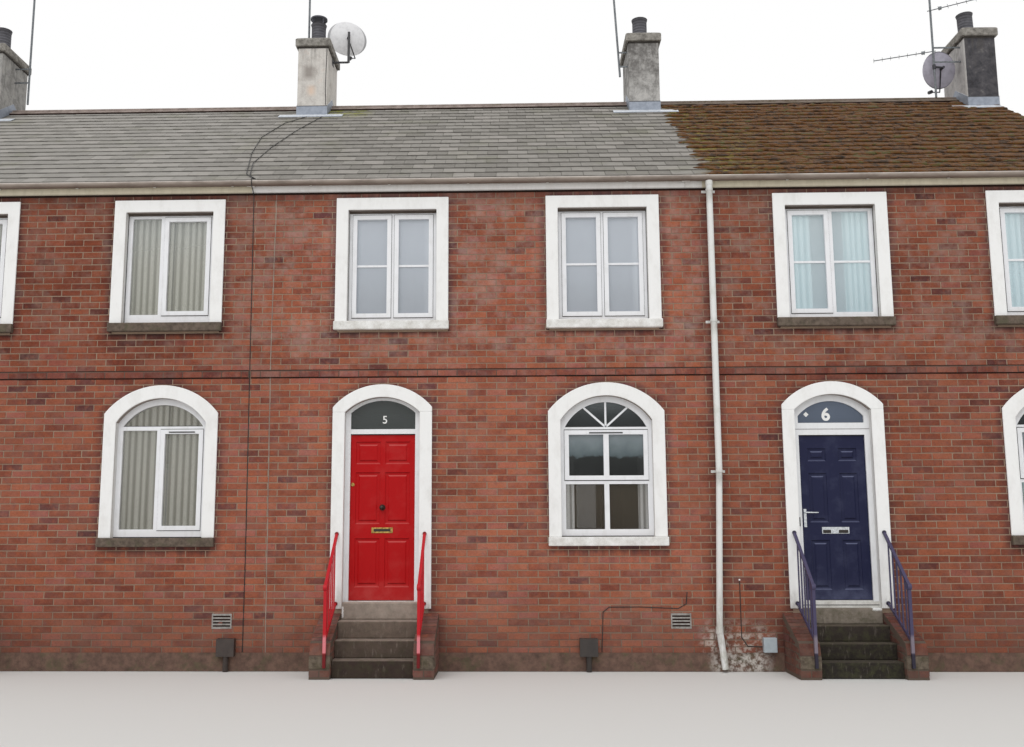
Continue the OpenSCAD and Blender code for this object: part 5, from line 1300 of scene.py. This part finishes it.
carried("rightHinges", "right_door_fittings", hingeSteel, keep=knuckles, body="right_door", smooth=True)
# Painted shade in the letter plates' slots, as dark strips on their faces
slotShade = newMaterial("painted shade in the slot of a letter plate", Base_Color="#241d17", Roughness=0.6)[0]
plateFace = frontY + 0.091
addBoxes(
    "brassPlateSlot", [[-1.060, -0.870, plateFace - 0.0006, plateFace + 0.001, 1.514, 1.543]], 0.0003,
    slotShade, "middle_door_fittings", body="middle_door"
)
plateShades = [
    [a, b, plateFace - 0.0006, plateFace + 0.001, 1.482, 1.518] for a, b in ((3.955, 4.043), (4.128, 4.234))
]
addBoxes("chromePlateShades", plateShades, 0.0003, slotShade, "right_door_fittings", body="right_door")
print("doors done")

# Trims, sills, steps, railings

# White paint on render: chalky, fine grit in it, faint dirt that gathers low down and by drips
def whiteRenderPaint(name, base="#f4f4f3"):
    material, add, shader, onPiece = patterned(name, Roughness=0.7, Specular_IOR_Level=0.3)
    grit = add("TexNoise", {"Vector": onPiece, "Scale": 1000 / 6, "Detail": 5.0, "Roughness": 0.75})
    stretched = add("Mapping", {"Vector": onPiece, "Scale": (1.0, 1.0, 0.5)})
    dirt = add("TexNoise", {"Vector": stretched, "Scale": 1000 / 160, "Detail": 5.0, "Roughness": 0.7})
    uneven = add("TexNoise", {"Vector": onPiece, "Scale": 1000 / 200, "Detail": 3.0, "Roughness": 0.5})
    z = add("SeparateXYZ", [onPiece]).outputs["Z"]
    low = (
        add("MapRange", [z, 0.95, 0.67, 0.0, 0.55]), add("ValToRGB", [dirt], stops=[(0.4, 0.1), (0.6, 1.0)])
    )
    dressed(add, shader, base, [
        (add("ValToRGB", [dirt], stops=[(0.48, 0.0), (0.8, 0.28)]), "#b3aea6"), (low, "#8f877c")
    ], [(grit, 0.0018, 0.7), (uneven, 0.004, 0.5)])
    return material


trimPaint = whiteRenderPaint("white render trim")
for node in ("door_trim_jambs", "door_trim_arches", "window_trim"):
    carried(node.replace("_", " ").title().replace(" ", "") + "Worn", node, trimPaint, 0.006)
sillStone = concrete(
    "dark weathered sill", "#73665b", "#4d433b", green="#54533f", greenFrom=0.52, size=0.05
)
sillWhite = concrete("white painted sill", "#f4f4f2", "#cfccc6", green="#8b897c", greenFrom=0.62, size=0.12)
middleHouse = lambda x, y, z: np.abs(x) < 2.53
carried("sillsMiddle", "window_sills", sillWhite, 0.009, keep=middleHouse)
carried("sillsOuter", "window_sills", sillStone, 0.009, keep=lambda x, y, z: np.abs(x) > 2.53)


# One where a place lies inside a box of x and z, with edges broken up by noise
def inPatch(add, place, noise, x0, x1, z0, z1, soft=0.012):
    x = add(
        "Math", [noise, 0.05, add("Math", [place["X"], -0.025], operation="ADD")], operation="MULTIPLY_ADD"
    )
    z = add(
        "Math", [noise, 0.06, add("Math", [place["Z"], -0.03], operation="ADD")], operation="MULTIPLY_ADD"
    )
    sides = ((x, x0, soft), (x, x1, -soft)), ((z, z0, soft), (z, z1, -soft))
    return tuple(
        tuple(add("MapRange", [v, edge, edge + fade, 0.0, 1.0]) for v, edge, fade in pair) for pair in sides
    )


# Step concrete: pale treads over risers painted darker as shade, with pale runs, the last house's
# steps nearly black with damp and moss below the top one, and splashes of white paint
def stepConcrete(name, tread, riser, wetTread, wetRiser, moss=0.25, splashes=()):
    material, add, shader, onPiece = patterned(name, Roughness=0.88, Specular_IOR_Level=0.25)
    place = add("SeparateXYZ", [onPiece]).outputs
    facing = add("SeparateXYZ", [add("NewGeometry").outputs["Normal"]]).outputs["Z"]
    flat = add("MapRange", [facing, 0.25, 0.7, 0.0, 1.0])
    cloud = add("TexNoise", {"Vector": onPiece, "Scale": 1000 / 100, "Detail": 6.0, "Roughness": 0.68})
    grain = add("TexNoise", {"Vector": onPiece, "Scale": 1000 / 6, "Detail": 4.0, "Roughness": 0.75})
    stretched = add("Mapping", {"Vector": onPiece, "Scale": (1.0, 1.0, 0.25)})
    runs = add("TexNoise", {"Vector": stretched, "Scale": 1000 / 40, "Detail": 4.0, "Roughness": 0.65})
    last = add("Math", [place["X"], 2.53], operation="GREATER_THAN")
    # Treads that look up stay pale and risers take the darker tone: painted shade
    dry = add("Mix", {0: flat, 6: riser, 7: tread}, data_type="RGBA")
    wet = add("Mix", {0: flat, 6: wetRiser, 7: wetTread}, data_type="RGBA")
    spots = add("TexNoise", {"Vector": onPiece, "Scale": 1000 / 80, "Detail": 6.0, "Roughness": 0.7})
    algae = (
        add("ValToRGB", [spots], stops=[(0.44, 0.0), (0.66, 1.0)]),
        add("MapRange", [last, 0.0, 1.0, moss, 0.55])
    )
    dressed(add, shader, add("Mix", {0: last, 6: dry, 7: wet}, data_type="RGBA"), [
        (0.8, add("ValToRGB", [cloud], stops=[(0.3, 0.68), (0.55, 1.0), (0.75, 1.22)]), "MULTIPLY"),
        (0.6, add("ValToRGB", [grain], stops=[(0.35, 0.75), (0.62, 1.1)]), "MULTIPLY"),
        (add("ValToRGB", [runs], stops=[(0.58, 0.0), (0.75, 0.3)]), "#b3a89c"),
        (algae, "#46462f"),
        *((inPatch(add, place, grain, *splash), "#e6e6e4") for splash in splashes)
    ], [(grain, 0.0014, 0.7), (cloud, 0.006, 0.5)])
    return material


stepLevels = {
    "steps_top": (
        "#b3a599", "#9d9085", "#83796e", "#857b70", 0.1,
        [(-1.392, -1.362, 0.57, 0.70), (4.41, 4.545, 0.643, 0.70)]
    ),
    "steps_third": ("#9d8f84", "#6f6157", "#5a5046", "#37302b", 0.2, [(4.43, 4.522, 0.526, 0.60)]),
    "steps_second": ("#94867b", "#584b43", "#4e463d", "#2e2824", 0.3, []),
    "steps_bottom": ("#82756b", "#3c302b", "#474039", "#2b2622", 0.35, []),
}
for node, (tread, riser, wetTread, wetRiser, moss, splashes) in stepLevels.items():
    words = node.split("_")
    material = stepConcrete(
        "concrete of the " + words[1] + " steps", tread, riser, wetTread, wetRiser, moss, splashes
    )
    carried(words[0] + words[1].capitalize() + "Worn", node, material, 0.012)


# Thick railing paint: bubbled over rust, worn pale round the front post's middle, dark at its
# foot and where the rails enter the wall
def railPaint(name, colour, pale, dark, rust="#5a3222"):
    material, add, shader, onPiece = patterned(name, Roughness=0.45, Specular_IOR_Level=0.3)
    x, y, z = add("SeparateXYZ", [onPiece]).outputs
    chips = add("TexNoise", {"Vector": onPiece, "Scale": 1000 / 30, "Detail": 5.0, "Roughness": 0.7})
    atPost = add("Math", [y, frontY - 0.60], operation="LESS_THAN")
    band = (
        add("MapRange", [z, 0.255, 0.275, 0.0, 0.8]), add("MapRange", [z, 0.46, 0.42, 0.0, 1.0])
    )
    low = add("MapRange", [z, 0.275, 0.255, 0.0, 1.0])
    wallEnd = add("MapRange", [y, frontY - 0.045, frontY - 0.034, 0.0, 0.8])
    dressed(add, shader, colour, [
        ((atPost, band), pale), ((atPost, low), dark), (wallEnd, dark),
        (add("ValToRGB", [chips], stops=[(0.63, 0.0), (0.68, 0.8)]), rust)
    ], [(chips, 0.0012, 0.7)])
    return material


redPaint = railPaint("red railing paint", "#ba1622", "#e28b93", "#6e1015")
violetPaint = railPaint("violet railing paint", "#48435f", "#857b84", "#2b2736", "#4a3a33")
carried("redRailings", "step_railings", redPaint, 0.002, keep=lambda x, y, z: x < 2.53)
carried("violetRailings", "step_railings", violetPaint, 0.002, keep=lambda x, y, z: x > 2.53)

# Fine dark joint in the last house's white threshold board
addBoxes(
    "thresholdJoint", [[3.672, 4.518, frontY + 0.0494, frontY + 0.052, 0.698, 0.707]], 0.0003, sealAndShadeBlack,
    "door_thresholds"
)
print("steps and railings done")

# Chimneys, lead, dishes

# Old stack render: clouds of pale and dark patches, dark vertical runs under the cap
def stackRender(name, stops, side=None, streak=0.6, extra=None):
    material, add, shader, onPiece = patterned(name, Roughness=0.9, Specular_IOR_Level=0.2)
    place = add("SeparateXYZ", [onPiece]).outputs
    cloud = add("TexNoise", {
        "Vector": onPiece, "Scale": 1000 / 160, "Detail": 7.0, "Roughness": 0.74, "Distortion": 0.3
    })
    grain = add("TexNoise", {"Vector": onPiece, "Scale": 1000 / 12, "Detail": 5.0, "Roughness": 0.75})
    stretched = add("Mapping", {"Vector": onPiece, "Scale": (1.0, 1.0, 0.1)})
    runs = add("TexNoise", {"Vector": stretched, "Scale": 1000 / 45, "Detail": 4.0, "Roughness": 0.6})
    base = add("ValToRGB", [cloud], stops=list(zip((0.3, 0.44, 0.58, 0.72), stops)))
    if side:
        facing = add("SeparateXYZ", [add("NewGeometry").outputs["Normal"]]).outputs
        across = add("MapRange", [facing["X"], -0.4, -0.7, 0.0, 1.0])
        sideTone = add("ValToRGB", [cloud], stops=list(zip((0.3, 0.5, 0.7), side)))
        base = add("Mix", {0: across, 6: base, 7: sideTone}, data_type="RGBA")
    fromCap = add("MapRange", [place["Z"], 8.25, 8.88, 0.1, streak])
    dressed(add, shader, base, [
        (0.5, add("ValToRGB", [grain], stops=[(0.32, 0.75), (0.62, 1.1)]), "MULTIPLY"),
        ((fromCap, add("ValToRGB", [runs], stops=[(0.5, 0.0), (0.68, 1.0)])), "#57534f"),
        *(extra(add, place, cloud) if extra else [])
    ], [(grain, 0.002, 0.7), (cloud, 0.01, 0.5)])
    return material


# What one stack has and the others lack, as coats by place: two pale and grey patches, a dark upper
# part, and a pale edge down the front corner
patchesB = lambda add, place, noise: [
    ((inPatch(add, place, noise, -2.64, -2.45, 8.07, 8.30, 0.09), 0.55), "#e6c2a4"),
    ((inPatch(add, place, noise, -2.72, -2.46, 8.33, 8.64, 0.10), 0.8), "#8f8781")
]
patchesC = lambda add, place, noise: [((
    add("MapRange", [place["Z"], 8.24, 8.42, 0.0, 0.75]),
    add("ValToRGB", [noise], stops=[(0.34, 1.0), (0.66, 0.15)])
), "#625f5d")]
streakD = lambda add, place, noise: [((
    add("MapRange", [place["Y"], frontY + 3.25, frontY + 3.22, 0.0, 0.8]),
    add("MapRange", [place["X"], 7.366, 7.361, 0.0, 1.0])
), "#d5d3cf")]
stacks = [
    ("A", -7.59, stackRender("grey stack render", ["#75736f", "#94928f", "#adaba7", "#a7a099"])),
    ("B", -2.53, stackRender(
        "pale stack render", ["#b3ada6", "#cfcac4", "#dbd7d1", "#d8c8be"], streak=0.35, extra=patchesB
    )),
    ("C", 2.53, stackRender(
        "blotched stack render", ["#6f6d6a", "#989693", "#bdbbb8", "#c4c1bc"], streak=0.8, extra=patchesC
    )),
    ("D", 7.59, stackRender(
        "dark stack render", ["#353437", "#47464a", "#5a585b", "#85827e"],
        ["#a19e9c", "#bdbab8", "#cfccc8"], extra=streakD
    )),
]
# Painted shadow: a dark band just under each cap, all round its stack
capShade = dullFinish("painted shadow under the cap", "#34302d", "#4a4541", 0.95)
shades = []
for label, middle, material in stacks:
    carried(
        "stack" + label, "chimney_stacks", material, 0.010, keep=lambda x, y, z: np.abs(x - middle) < 0.5
    )
    a, b, c, d, z0, z1 = middle - 0.23, middle + 0.23, frontY + 3.18, frontY + 3.97, 8.868, 8.8965
    for side in ((c - 0.004, c + 0.002), (d - 0.002, d + 0.004)):
        shades.append([a - 0.004, b + 0.004, *side, z0, z1])
    shades += [[a - 0.004, a + 0.002, c, d, z0, z1], [b - 0.002, b + 0.004, c, d, z0, z1]]
shades = np.clip(shades, [-7.82, -7.82, -9, -9, 0, 0], [7.82, 7.82, 9, 9, 10, 10])
addBoxes("capShadows", shades, 0.001, capShade, "chimney_stacks")
capCement = concrete("weathered cap cement", "#a5a19a", "#5b5752", greenFrom=0.6, size=0.07)
carried("capsWorn", "chimney_caps", capCement, 0.016)


# Clay pot: dark with soot at the lip, thumbed rings round it
def potClay(name, dark, light):
    material, add, shader, onPiece = patterned(name, Roughness=0.75, Specular_IOR_Level=0.3)
    z = add("SeparateXYZ", [onPiece]).outputs["Z"]
    rings = add("Math", [add("Math", [z, 2 * math.pi / 0.045], operation="MULTIPLY")], operation="SINE")
    patches = add("TexNoise", {"Vector": onPiece, "Scale": 1000 / 80, "Detail": 5.0, "Roughness": 0.7})
    dressed(add, shader, add("ValToRGB", [patches], stops=[(0.35, dark), (0.68, light)]), [
        (add("MapRange", [rings, -1.0, 1.0, 0.25, 0.0]), "#3a3836"),
        (add("MapRange", [z, 9.30, 9.45, 0.0, 0.5]), "#2f2c2b")
    ], [(patches, 0.003, 0.6), (rings, 0.003, 0.8)])
    return material


carried("pots", "chimney_pots", potClay("sooty clay pot", "#55555b", "#6f6e74"), smooth=True)
carried("cowl", "chimney_cowl", metal("weathered cowl sheet", "#5d5d66", "#44444b", 0.6, 0.4), smooth=True)


# Rolled lead: blue-grey with a pale bloom on the faces that look up, darker along the front fold
def rolledLead(name):
    material, add, shader, onPiece = patterned(name, Metallic=0.25, Roughness=0.55, Specular_IOR_Level=0.4)
    x, y, z = add("SeparateXYZ", [onPiece]).outputs
    beaten = add("TexNoise", {"Vector": onPiece, "Scale": 1000 / 60, "Detail": 5.0, "Roughness": 0.65})
    facing = add("SeparateXYZ", [add("NewGeometry").outputs["Normal"]]).outputs["Z"]
    bloom = (
        add("MapRange", [facing, 0.45, 0.75, 0.0, 0.85]),
        add("ValToRGB", [beaten], stops=[(0.35, 0.55), (0.55, 1.0)])
    )
    fold = (
        add("MapRange", [z, 7.925, 7.932, 0.0, 0.9]), add("MapRange", [z, 7.950, 7.944, 0.0, 1.0]),
        add("Math", [y, frontY + 3.182], operation="LESS_THAN")
    )
    dressed(add, shader, add("ValToRGB", [beaten], stops=[(0.3, "#878e9a"), (0.7, "#a0a7b3")]), [
        (bloom, "#dfe3e8"), (fold, "#37332f")
    ], [(beaten, 0.004, 0.5)])
    return material


# Dish: enamel inside the reflector, found by how far a place lies along the dish's axis; the arm,
# receiver and bracket are dark
def dishEnamel(name, centre, axis, pale, dark, rim, radius):
    material, add, shader, onPiece = patterned(name, Roughness=0.5, Specular_IOR_Level=0.3)
    fromCentre = add("VectorMath", [onPiece, centre], operation="SUBTRACT")
    along = add("VectorMath", {0: fromCentre, 1: axis}, operation="DOT_PRODUCT").outputs["Value"]
    reach = add("VectorMath", [fromCentre], operation="LENGTH").outputs["Value"]
    behind = add("Math", [along, -0.004], operation="LESS_THAN")
    before = add("Math", [along, 0.07], operation="GREATER_THAN")
    arm = add("Math", [behind, before], operation="MAXIMUM")
    mottle = add("TexNoise", {"Vector": onPiece, "Scale": 1000 / 80, "Detail": 5.0, "Roughness": 0.65})
    dressed(add, shader, pale, [
        (add("ValToRGB", [mottle], stops=[(0.45, 0.0), (0.75, 0.35)]), rim),
        (add("MapRange", [reach, radius - 0.022, radius - 0.014, 0.0, 0.8]), rim), (arm, dark)
    ], [(mottle, 0.0008, 0.4)])
    return material


dishPale = dishEnamel(
    "pale dish enamel", (-2.0762, 0.3324, 9.262), (-0.3664, 0.9069, 0.208), "#f4f4f6", "#4a4a4c",
    "#a5a5a8", 0.30
)
dishLilac = dishEnamel(
    "lilac dish enamel", (7.0829, 0.1068, 8.4832), (-0.1361, 0.9685, 0.208), "#b3b0bd", "#3f3f44",
    "#5a5960", 0.29
)
carried("dishWest", "satellite_dishes", dishPale, keep=lambda x, y, z: x < 0, smooth=True)
carried("dishEast", "satellite_dishes", dishLilac, keep=lambda x, y, z: x > 0, smooth=True)
print("chimneys done")

# Small things on the front

# Mastic in the movement joint: a narrow strip that runs a little off plumb over the bricks
jointZ = np.linspace(0.2, 5.445, 60)
jointX = np.interp(jointZ, [0.2, 3.6, 5.445], [-2.227, -2.259, -2.240]) + 0.0015 * np.sin(jointZ * 9)
strip = np.stack([
    np.stack([jointX + s * 0.006, np.full(60, frontY - d), jointZ], axis=1)
    for s, d in ((-1, -0.002), (-0.8, 0.0058), (0.8, 0.0058), (1, -0.002))
], axis=1)
index = np.arange(59)[:, None] * 4 + np.arange(4)[None]
nextIndex = np.arange(59)[:, None] * 4 + (np.arange(4) + 1) % 4
stripFaces = np.stack([index, nextIndex, nextIndex + 4, index + 4], axis=-1).reshape(-1, 4)
stripFaces = np.concatenate([stripFaces, [[3, 2, 1, 0]], [[236, 237, 238, 239]]])
jointMastic = dullFinish("grey joint mastic", "#6d5750", "#a19486", 0.7, cloud=0.4)
addPiece("movementJoint", strip.reshape(-1, 3), stripFaces, jointMastic, "front_wall_lower")

# Painted shade: black boxes in the airbricks' slots that stand for the dark hollows behind them
slots = {"half": 0.096, "first": 0.4861, "apart": 0.03425, "halfHigh": 0.0088}
hollows = []
for x in (-2.72, 2.34, 7.40):
    for z in slots["first"] + slots["apart"] * np.arange(4):
        hollows.append([
            x - slots["half"], x + slots["half"], frontY - 0.0055, frontY - 0.0028,
            z - slots["halfHigh"], z + slots["halfHigh"]
        ])
addBoxes("airbrickHollowShades", hollows, 0.0002, shadowBlack, "airbricks")


# Sealed entry of a cable in the wall: a low dome of rings, radius r cos a and height r sin a
def wallDome(name, x, z, radius, material):
    turn = np.linspace(0, 2 * np.pi, 16, endpoint=False)
    rise = np.radians([0, 30, 60, 84])[:, None]
    ring = radius * np.cos(rise)
    y = frontY + 0.002 - 0.010 * np.sin(rise) + 0 * turn
    verts = np.stack([x + ring * np.cos(turn), y, z + ring * np.sin(turn)], axis=-1).reshape(-1, 3)
    k = np.arange(16)
    after = (k + 1) % 16
    quads = np.concatenate([
        16 * r + np.stack([k, after, 16 + after, 16 + k], axis=1) for r in range(3)
    ])
    addPiece(name, verts, quads, material, "wall_cables", smooth=True)


cableBlack = dullFinish("black cable sheath", "#1a1818", "#2a2726", 0.55, cloud=0.05)
wallDome("paleCableEntry", 2.990, 0.978, 0.013, numberWhite)
wallDome("darkCableEntry", 2.413, 0.840, 0.012, cableBlack)
boxes = [
    ("boxWest", -2.8, -2.5, 0.005, ("dark brown box plastic", "#352c29", "#463c37", 0.55)),
    ("boxMiddle", 1.2, 1.5, 0.005, ("dark box plastic", "#2f2a28", "#3f3834", 0.55)),
    ("boxGrey", 3.2, 3.4, 0.006, ("pale grey box plastic", "#a3adb4", "#b6c0c6", 0.5)),
    ("bellPush", 3.6, 3.8, 0.003, ("black bell push", "#15161b", "#22232a", 0.35)),
]
for name, x0, x1, width, finish in boxes:
    carried(name, "service_boxes", dullFinish(*finish), width, keep=lambda x, y, z: (x > x0) & (x < x1))
print("small pieces done")

# Finishes of the eaves, pipes and remaining nodes

# Gutter plastic by height: painted shade along its foot, paler above, a painted highlight on the
# rim, dirt in clouds; the outlet is white
def gutterPlastic(name):
    material, add, shader, onPiece = patterned(name, Roughness=0.5, Specular_IOR_Level=0.35)
    z = add("SeparateXYZ", [onPiece]).outputs["Z"]
    stretched = add("Mapping", {"Vector": onPiece, "Scale": (0.4, 1.0, 1.0)})
    dirt = add("TexNoise", {"Vector": stretched, "Scale": 1000 / 120, "Detail": 5.0, "Roughness": 0.7})
    # Painted shade low on the gutter and a painted highlight along its rim
    dressed(add, shader, add("ValToRGB", [
        add("MapRange", [z, 5.512, 5.570, 0.0, 1.0])
    ], stops=[(0.0, "#6d5d53"), (0.35, "#8f8278"), (0.8, "#b0a49a"), (0.9, "#d6cec7")]), [
        (add("ValToRGB", [dirt], stops=[(0.42, 0.0), (0.7, 0.5)]), "#5e5148"),
        (add("Math", [z, 5.5125], operation="LESS_THAN"), "#dcdcd8")
    ], [(dirt, 0.001, 0.4)])
    return material


# Painted fascia board: dulled by drips and dust, darker along its foot
def fasciaPaint(name, colour, dirt):
    material, add, shader, onPiece = patterned(name, Roughness=0.6, Specular_IOR_Level=0.3)
    x, y, z = add("SeparateXYZ", [onPiece]).outputs
    stretched = add("Mapping", {"Vector": onPiece, "Scale": (1.0, 1.0, 0.3)})
    film = add("TexNoise", {"Vector": stretched, "Scale": 1000 / 90, "Detail": 5.0, "Roughness": 0.7})
    fromPatch = add("Math", [add("Math", [x, 2.63], operation="SUBTRACT")], operation="ABSOLUTE")
    dressed(add, shader, colour, [
        (add("MapRange", [fromPatch, 0.0985, 0.0965, 0.0, 1.0]), "#f2f0ee"),
        (add("ValToRGB", [film], stops=[(0.42, 0.0), (0.75, 0.35)]), dirt),
        (add("MapRange", [z, 5.468, 5.452, 0.0, 0.5]), "#4a3d36")
    ], [(film, 0.001, 0.4)])
    return material


cream = fasciaPaint("cream fascia paint", "#e0d7c0", "#a2977c")
offWhite = fasciaPaint("white fascia paint", "#f2f0ee", "#cfc8c0")
carried("fasciaOuter", "fascia_boards", cream, keep=lambda x, y, z: np.abs(x) > 2.53)
carried("fasciaMiddle", "fascia_boards", offWhite, keep=middleHouse)


# Downpipe plastic: white, streaked grey under each clip and near the ground, a little green
def pipePlastic(name, clips=(2.15, 3.85, 5.39)):
    material, add, shader, onPiece = patterned(name, Roughness=0.45, IOR=1.5)
    z = add("SeparateXYZ", [onPiece]).outputs["Z"]
    stretched = add("Mapping", {"Vector": onPiece, "Scale": (1.0, 1.0, 0.25)})
    dirt = add("TexNoise", {"Vector": stretched, "Scale": 1000 / 50, "Detail": 5.0, "Roughness": 0.7})
    coats = []
    for level in clips:
        off = add("Math", [add("Math", [z, 0.05 - level], operation="ADD")], operation="ABSOLUTE")
        near = add("MapRange", [off, 0.12, 0.02, 0.0, 0.6])
        coats.append(((near, add("ValToRGB", [dirt], stops=[(0.3, 0.3), (0.6, 1.0)])), "#8f8b80"))
    low = (
        add("MapRange", [z, 1.3, 0.15, 0.0, 0.75]), add("ValToRGB", [dirt], stops=[(0.4, 0.0), (0.65, 1.0)])
    )
    algae = add("TexNoise", {"Vector": onPiece, "Scale": 1000 / 300, "Detail": 4.0, "Roughness": 0.7})
    dressed(add, shader, "#e3e4e2", coats + [
        (low, "#8d8676"), (add("ValToRGB", [algae], stops=[(0.55, 0.0), (0.7, 0.25)]), "#a3a98c")
    ], [(dirt, 0.0006, 0.4)])
    return material


# Salt that has come out of the plinth's foot: a patch beyond the last party wall times a bloom
def saltCoats(add, onPiece):
    spread = add("TexNoise", {"Vector": onPiece, "Scale": 1000 / 100, "Detail": 5.0, "Roughness": 0.7})
    bloom = add("TexNoise", {"Vector": onPiece, "Scale": 1000 / 50, "Detail": 5.0, "Roughness": 0.7})
    place = inPatch(add, add("SeparateXYZ", [onPiece]).outputs, spread, 2.6, 3.35, -0.1, 0.3, 0.15)
    return [((place, add("ValToRGB", [bloom], stops=[(0.42, 0.0), (0.6, 0.8)])), "#cfc9c2")]


# Moss and dirt that begin beyond the last party wall: a step along the row times clouds
def ridgeCoats(add, onPiece):
    clouds = add("TexNoise", {"Vector": onPiece, "Scale": 1000 / 120, "Detail": 5.0, "Roughness": 0.7})
    past = add("MapRange", [add("SeparateXYZ", [onPiece]).outputs["X"], 2.7, 3.1, 0.0, 1.0])
    return [((past, add("ValToRGB", [clouds], stops=[(0.36, 0.1), (0.6, 0.9)])), "#5a4f3e")]


plaster = dullFinish("painted plaster", "#79726a", "#8a8379", 0.9, cloud=0.5, height=0.0006)
aerialGrey = metal("weathered aerial tube", "#7d8184", "#55585b", 0.5, 0.6)
finishes = {
    "front_wall_lower": masonry, "front_wall_at_doors": masonry, "front_wall_upper": masonry,
    "rear_wall": masonryMaterial("pale mortar of the rear", white=False),
    "end_walls": masonryMaterial("pale mortar of the ends", white=False),
    "party_walls": plaster,
    "floors": dullFinish("worn floor boards", "#6f573f", "#8c7152", 0.6, cloud=0.12),
    "bedroom_ceilings": dullFinish("ceiling plaster", "#9c988f", "#aba79e", 0.92, cloud=0.5, height=0.0006),
    "ridge_tiles": concrete(
        "clay ridge tile", "#a2948d", "#776a64", green="#5f5b45", greenFrom=0.52, size=0.12,
        coats=ridgeCoats
    ),
    # Dark mortar in the projecting course: painted shade in its joints, with dirt
    "string_course": masonryMaterial(
        "dark mortar of the string course with painted shade", white=False, light="#7d675c", dark="#59473f"
    ),
    "plinth": concrete(
        "rough cement plinth", "#785f53", "#52413a", green="#54543d", greenFrom=0.5, size=0.09,
        coats=saltCoats
    ),
    "upper_window_frames": uPlastic, "arched_window_frames": uPlastic, "rear_window_frames": uPlastic,
    # Rear panes: a painted reflection of the sky
    "rear_window_glass": paneGlass("rear pane glass", [(0.0, "#aab1b8"), (1.0, "#c6cdd5")], 0.65, 1.5, 5.1),
    "curtain_rails": dullFinish("white enamelled rail", "#dcdad5", "#e8e6e1", 0.4, height=0.0001),
    "door_frame_posts": windowPlastic("white door frame", "#e9eaec"),
    "door_frame_heads": windowPlastic("white door frame head", "#e9eaec"),
    "door_thresholds": concrete(
        "white scuffed threshold", "#e3e2de", "#c5c2bb", green="#8f8d83", greenFrom=0.7
    ),
    "door_hinge_pins": hingeSteel,
    "step_cheek_walls": masonryMaterial(
        "mortar of the cheek walls", white=False, light="#7c6c5f", dark="#4f443c"
    ),
    "gutters": gutterPlastic("weathered gutter"), "downpipes": pipePlastic("white pipe plastic"),
    "chimney_flashings": rolledLead("weathered lead"),
    "aerial_masts": aerialGrey, "aerial_arrays": aerialGrey,
    "airbricks": concrete("cast airbrick", "#a9a6a2", "#7d7872", greenFrom=0.7, size=0.05),
    "wall_cables": cableBlack,
}
for node, material in finishes.items():
    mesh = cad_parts[node].data
    mesh.materials.clear()
    mesh.materials.append(material)
print("finishes set:", len(finishes))

# Stage, light and camera

floorMesh = bpy.data.meshes.new("studioFloor")
floorHalf, floorZ = 60, -0.002
floorCorners = [(x * floorHalf, y * floorHalf, floorZ) for x, y in ((-1, -1), (1, -1), (1, 1), (-1, 1))]
floorMesh.from_pydata(floorCorners, [], [(0, 1, 2, 3)])
floorMesh.materials.append(newMaterial("pale studio floor", Base_Color="#d9d8d5", Roughness=0.9)[0])
placed("studioFloor", floorMesh)

world = bpy.data.worlds.new("softSky")
bpy.context.scene.world = world
world.use_nodes = True
skyTree = world.node_tree
skyTree.nodes.clear()
path = addNode(skyTree, "LightPath")
rays = [path.outputs[kind] for kind in ("Is Camera Ray", "Is Glossy Ray", "Is Transmission Ray")]
seen = addNode(skyTree, "Math", rays[:2], operation="MAXIMUM")
seen = addNode(skyTree, "Math", [seen, rays[2]], operation="MAXIMUM")
strength = addNode(skyTree, "MapRange", [seen, 0.0, 1.0, 0.78, 1.0])
sky = addNode(skyTree, "Background", {"Color": (1, 1, 1, 1), "Strength": strength})
addNode(skyTree, "OutputWorld", {"Surface": sky})

sun = bpy.data.lights.new("softSun", "SUN")
sun.energy = 1.0
sun.angle = math.radians(50)
placed("softSun", sun).rotation_euler = (math.radians(38), math.radians(-12), 0)

# The photograph's camera, fitted to the row: place, direction and lens
eye = {"at": (0.5498, -14.5797, 1.5294), "lens": 35.252, "shift": (0.02201, 0.01146)}
yaw, tilt, roll = -0.0265, 0.1432, -0.003
camera = bpy.data.cameras.new("camera")
camera.sensor_width = 36
camera.lens = eye["lens"]
camera.shift_x, camera.shift_y = eye["shift"]
camera.clip_end = 200
forward = Vector((math.sin(yaw) * math.cos(tilt), math.cos(yaw) * math.cos(tilt), math.sin(tilt)))
right = Vector((math.cos(yaw), -math.sin(yaw), 0))
up = right.cross(forward)
rolledRight = right * math.cos(roll) + up * math.sin(roll)
rolledUp = -right * math.sin(roll) + up * math.cos(roll)
turn = Matrix((rolledRight, rolledUp, -forward)).transposed()
cameraHolder = placed("camera", camera)
cameraHolder.matrix_world = Matrix.Translation(eye["at"]) @ turn.to_4x4()
bpy.context.scene.camera = cameraHolder
bpy.context.scene.view_settings.view_transform = "Standard"
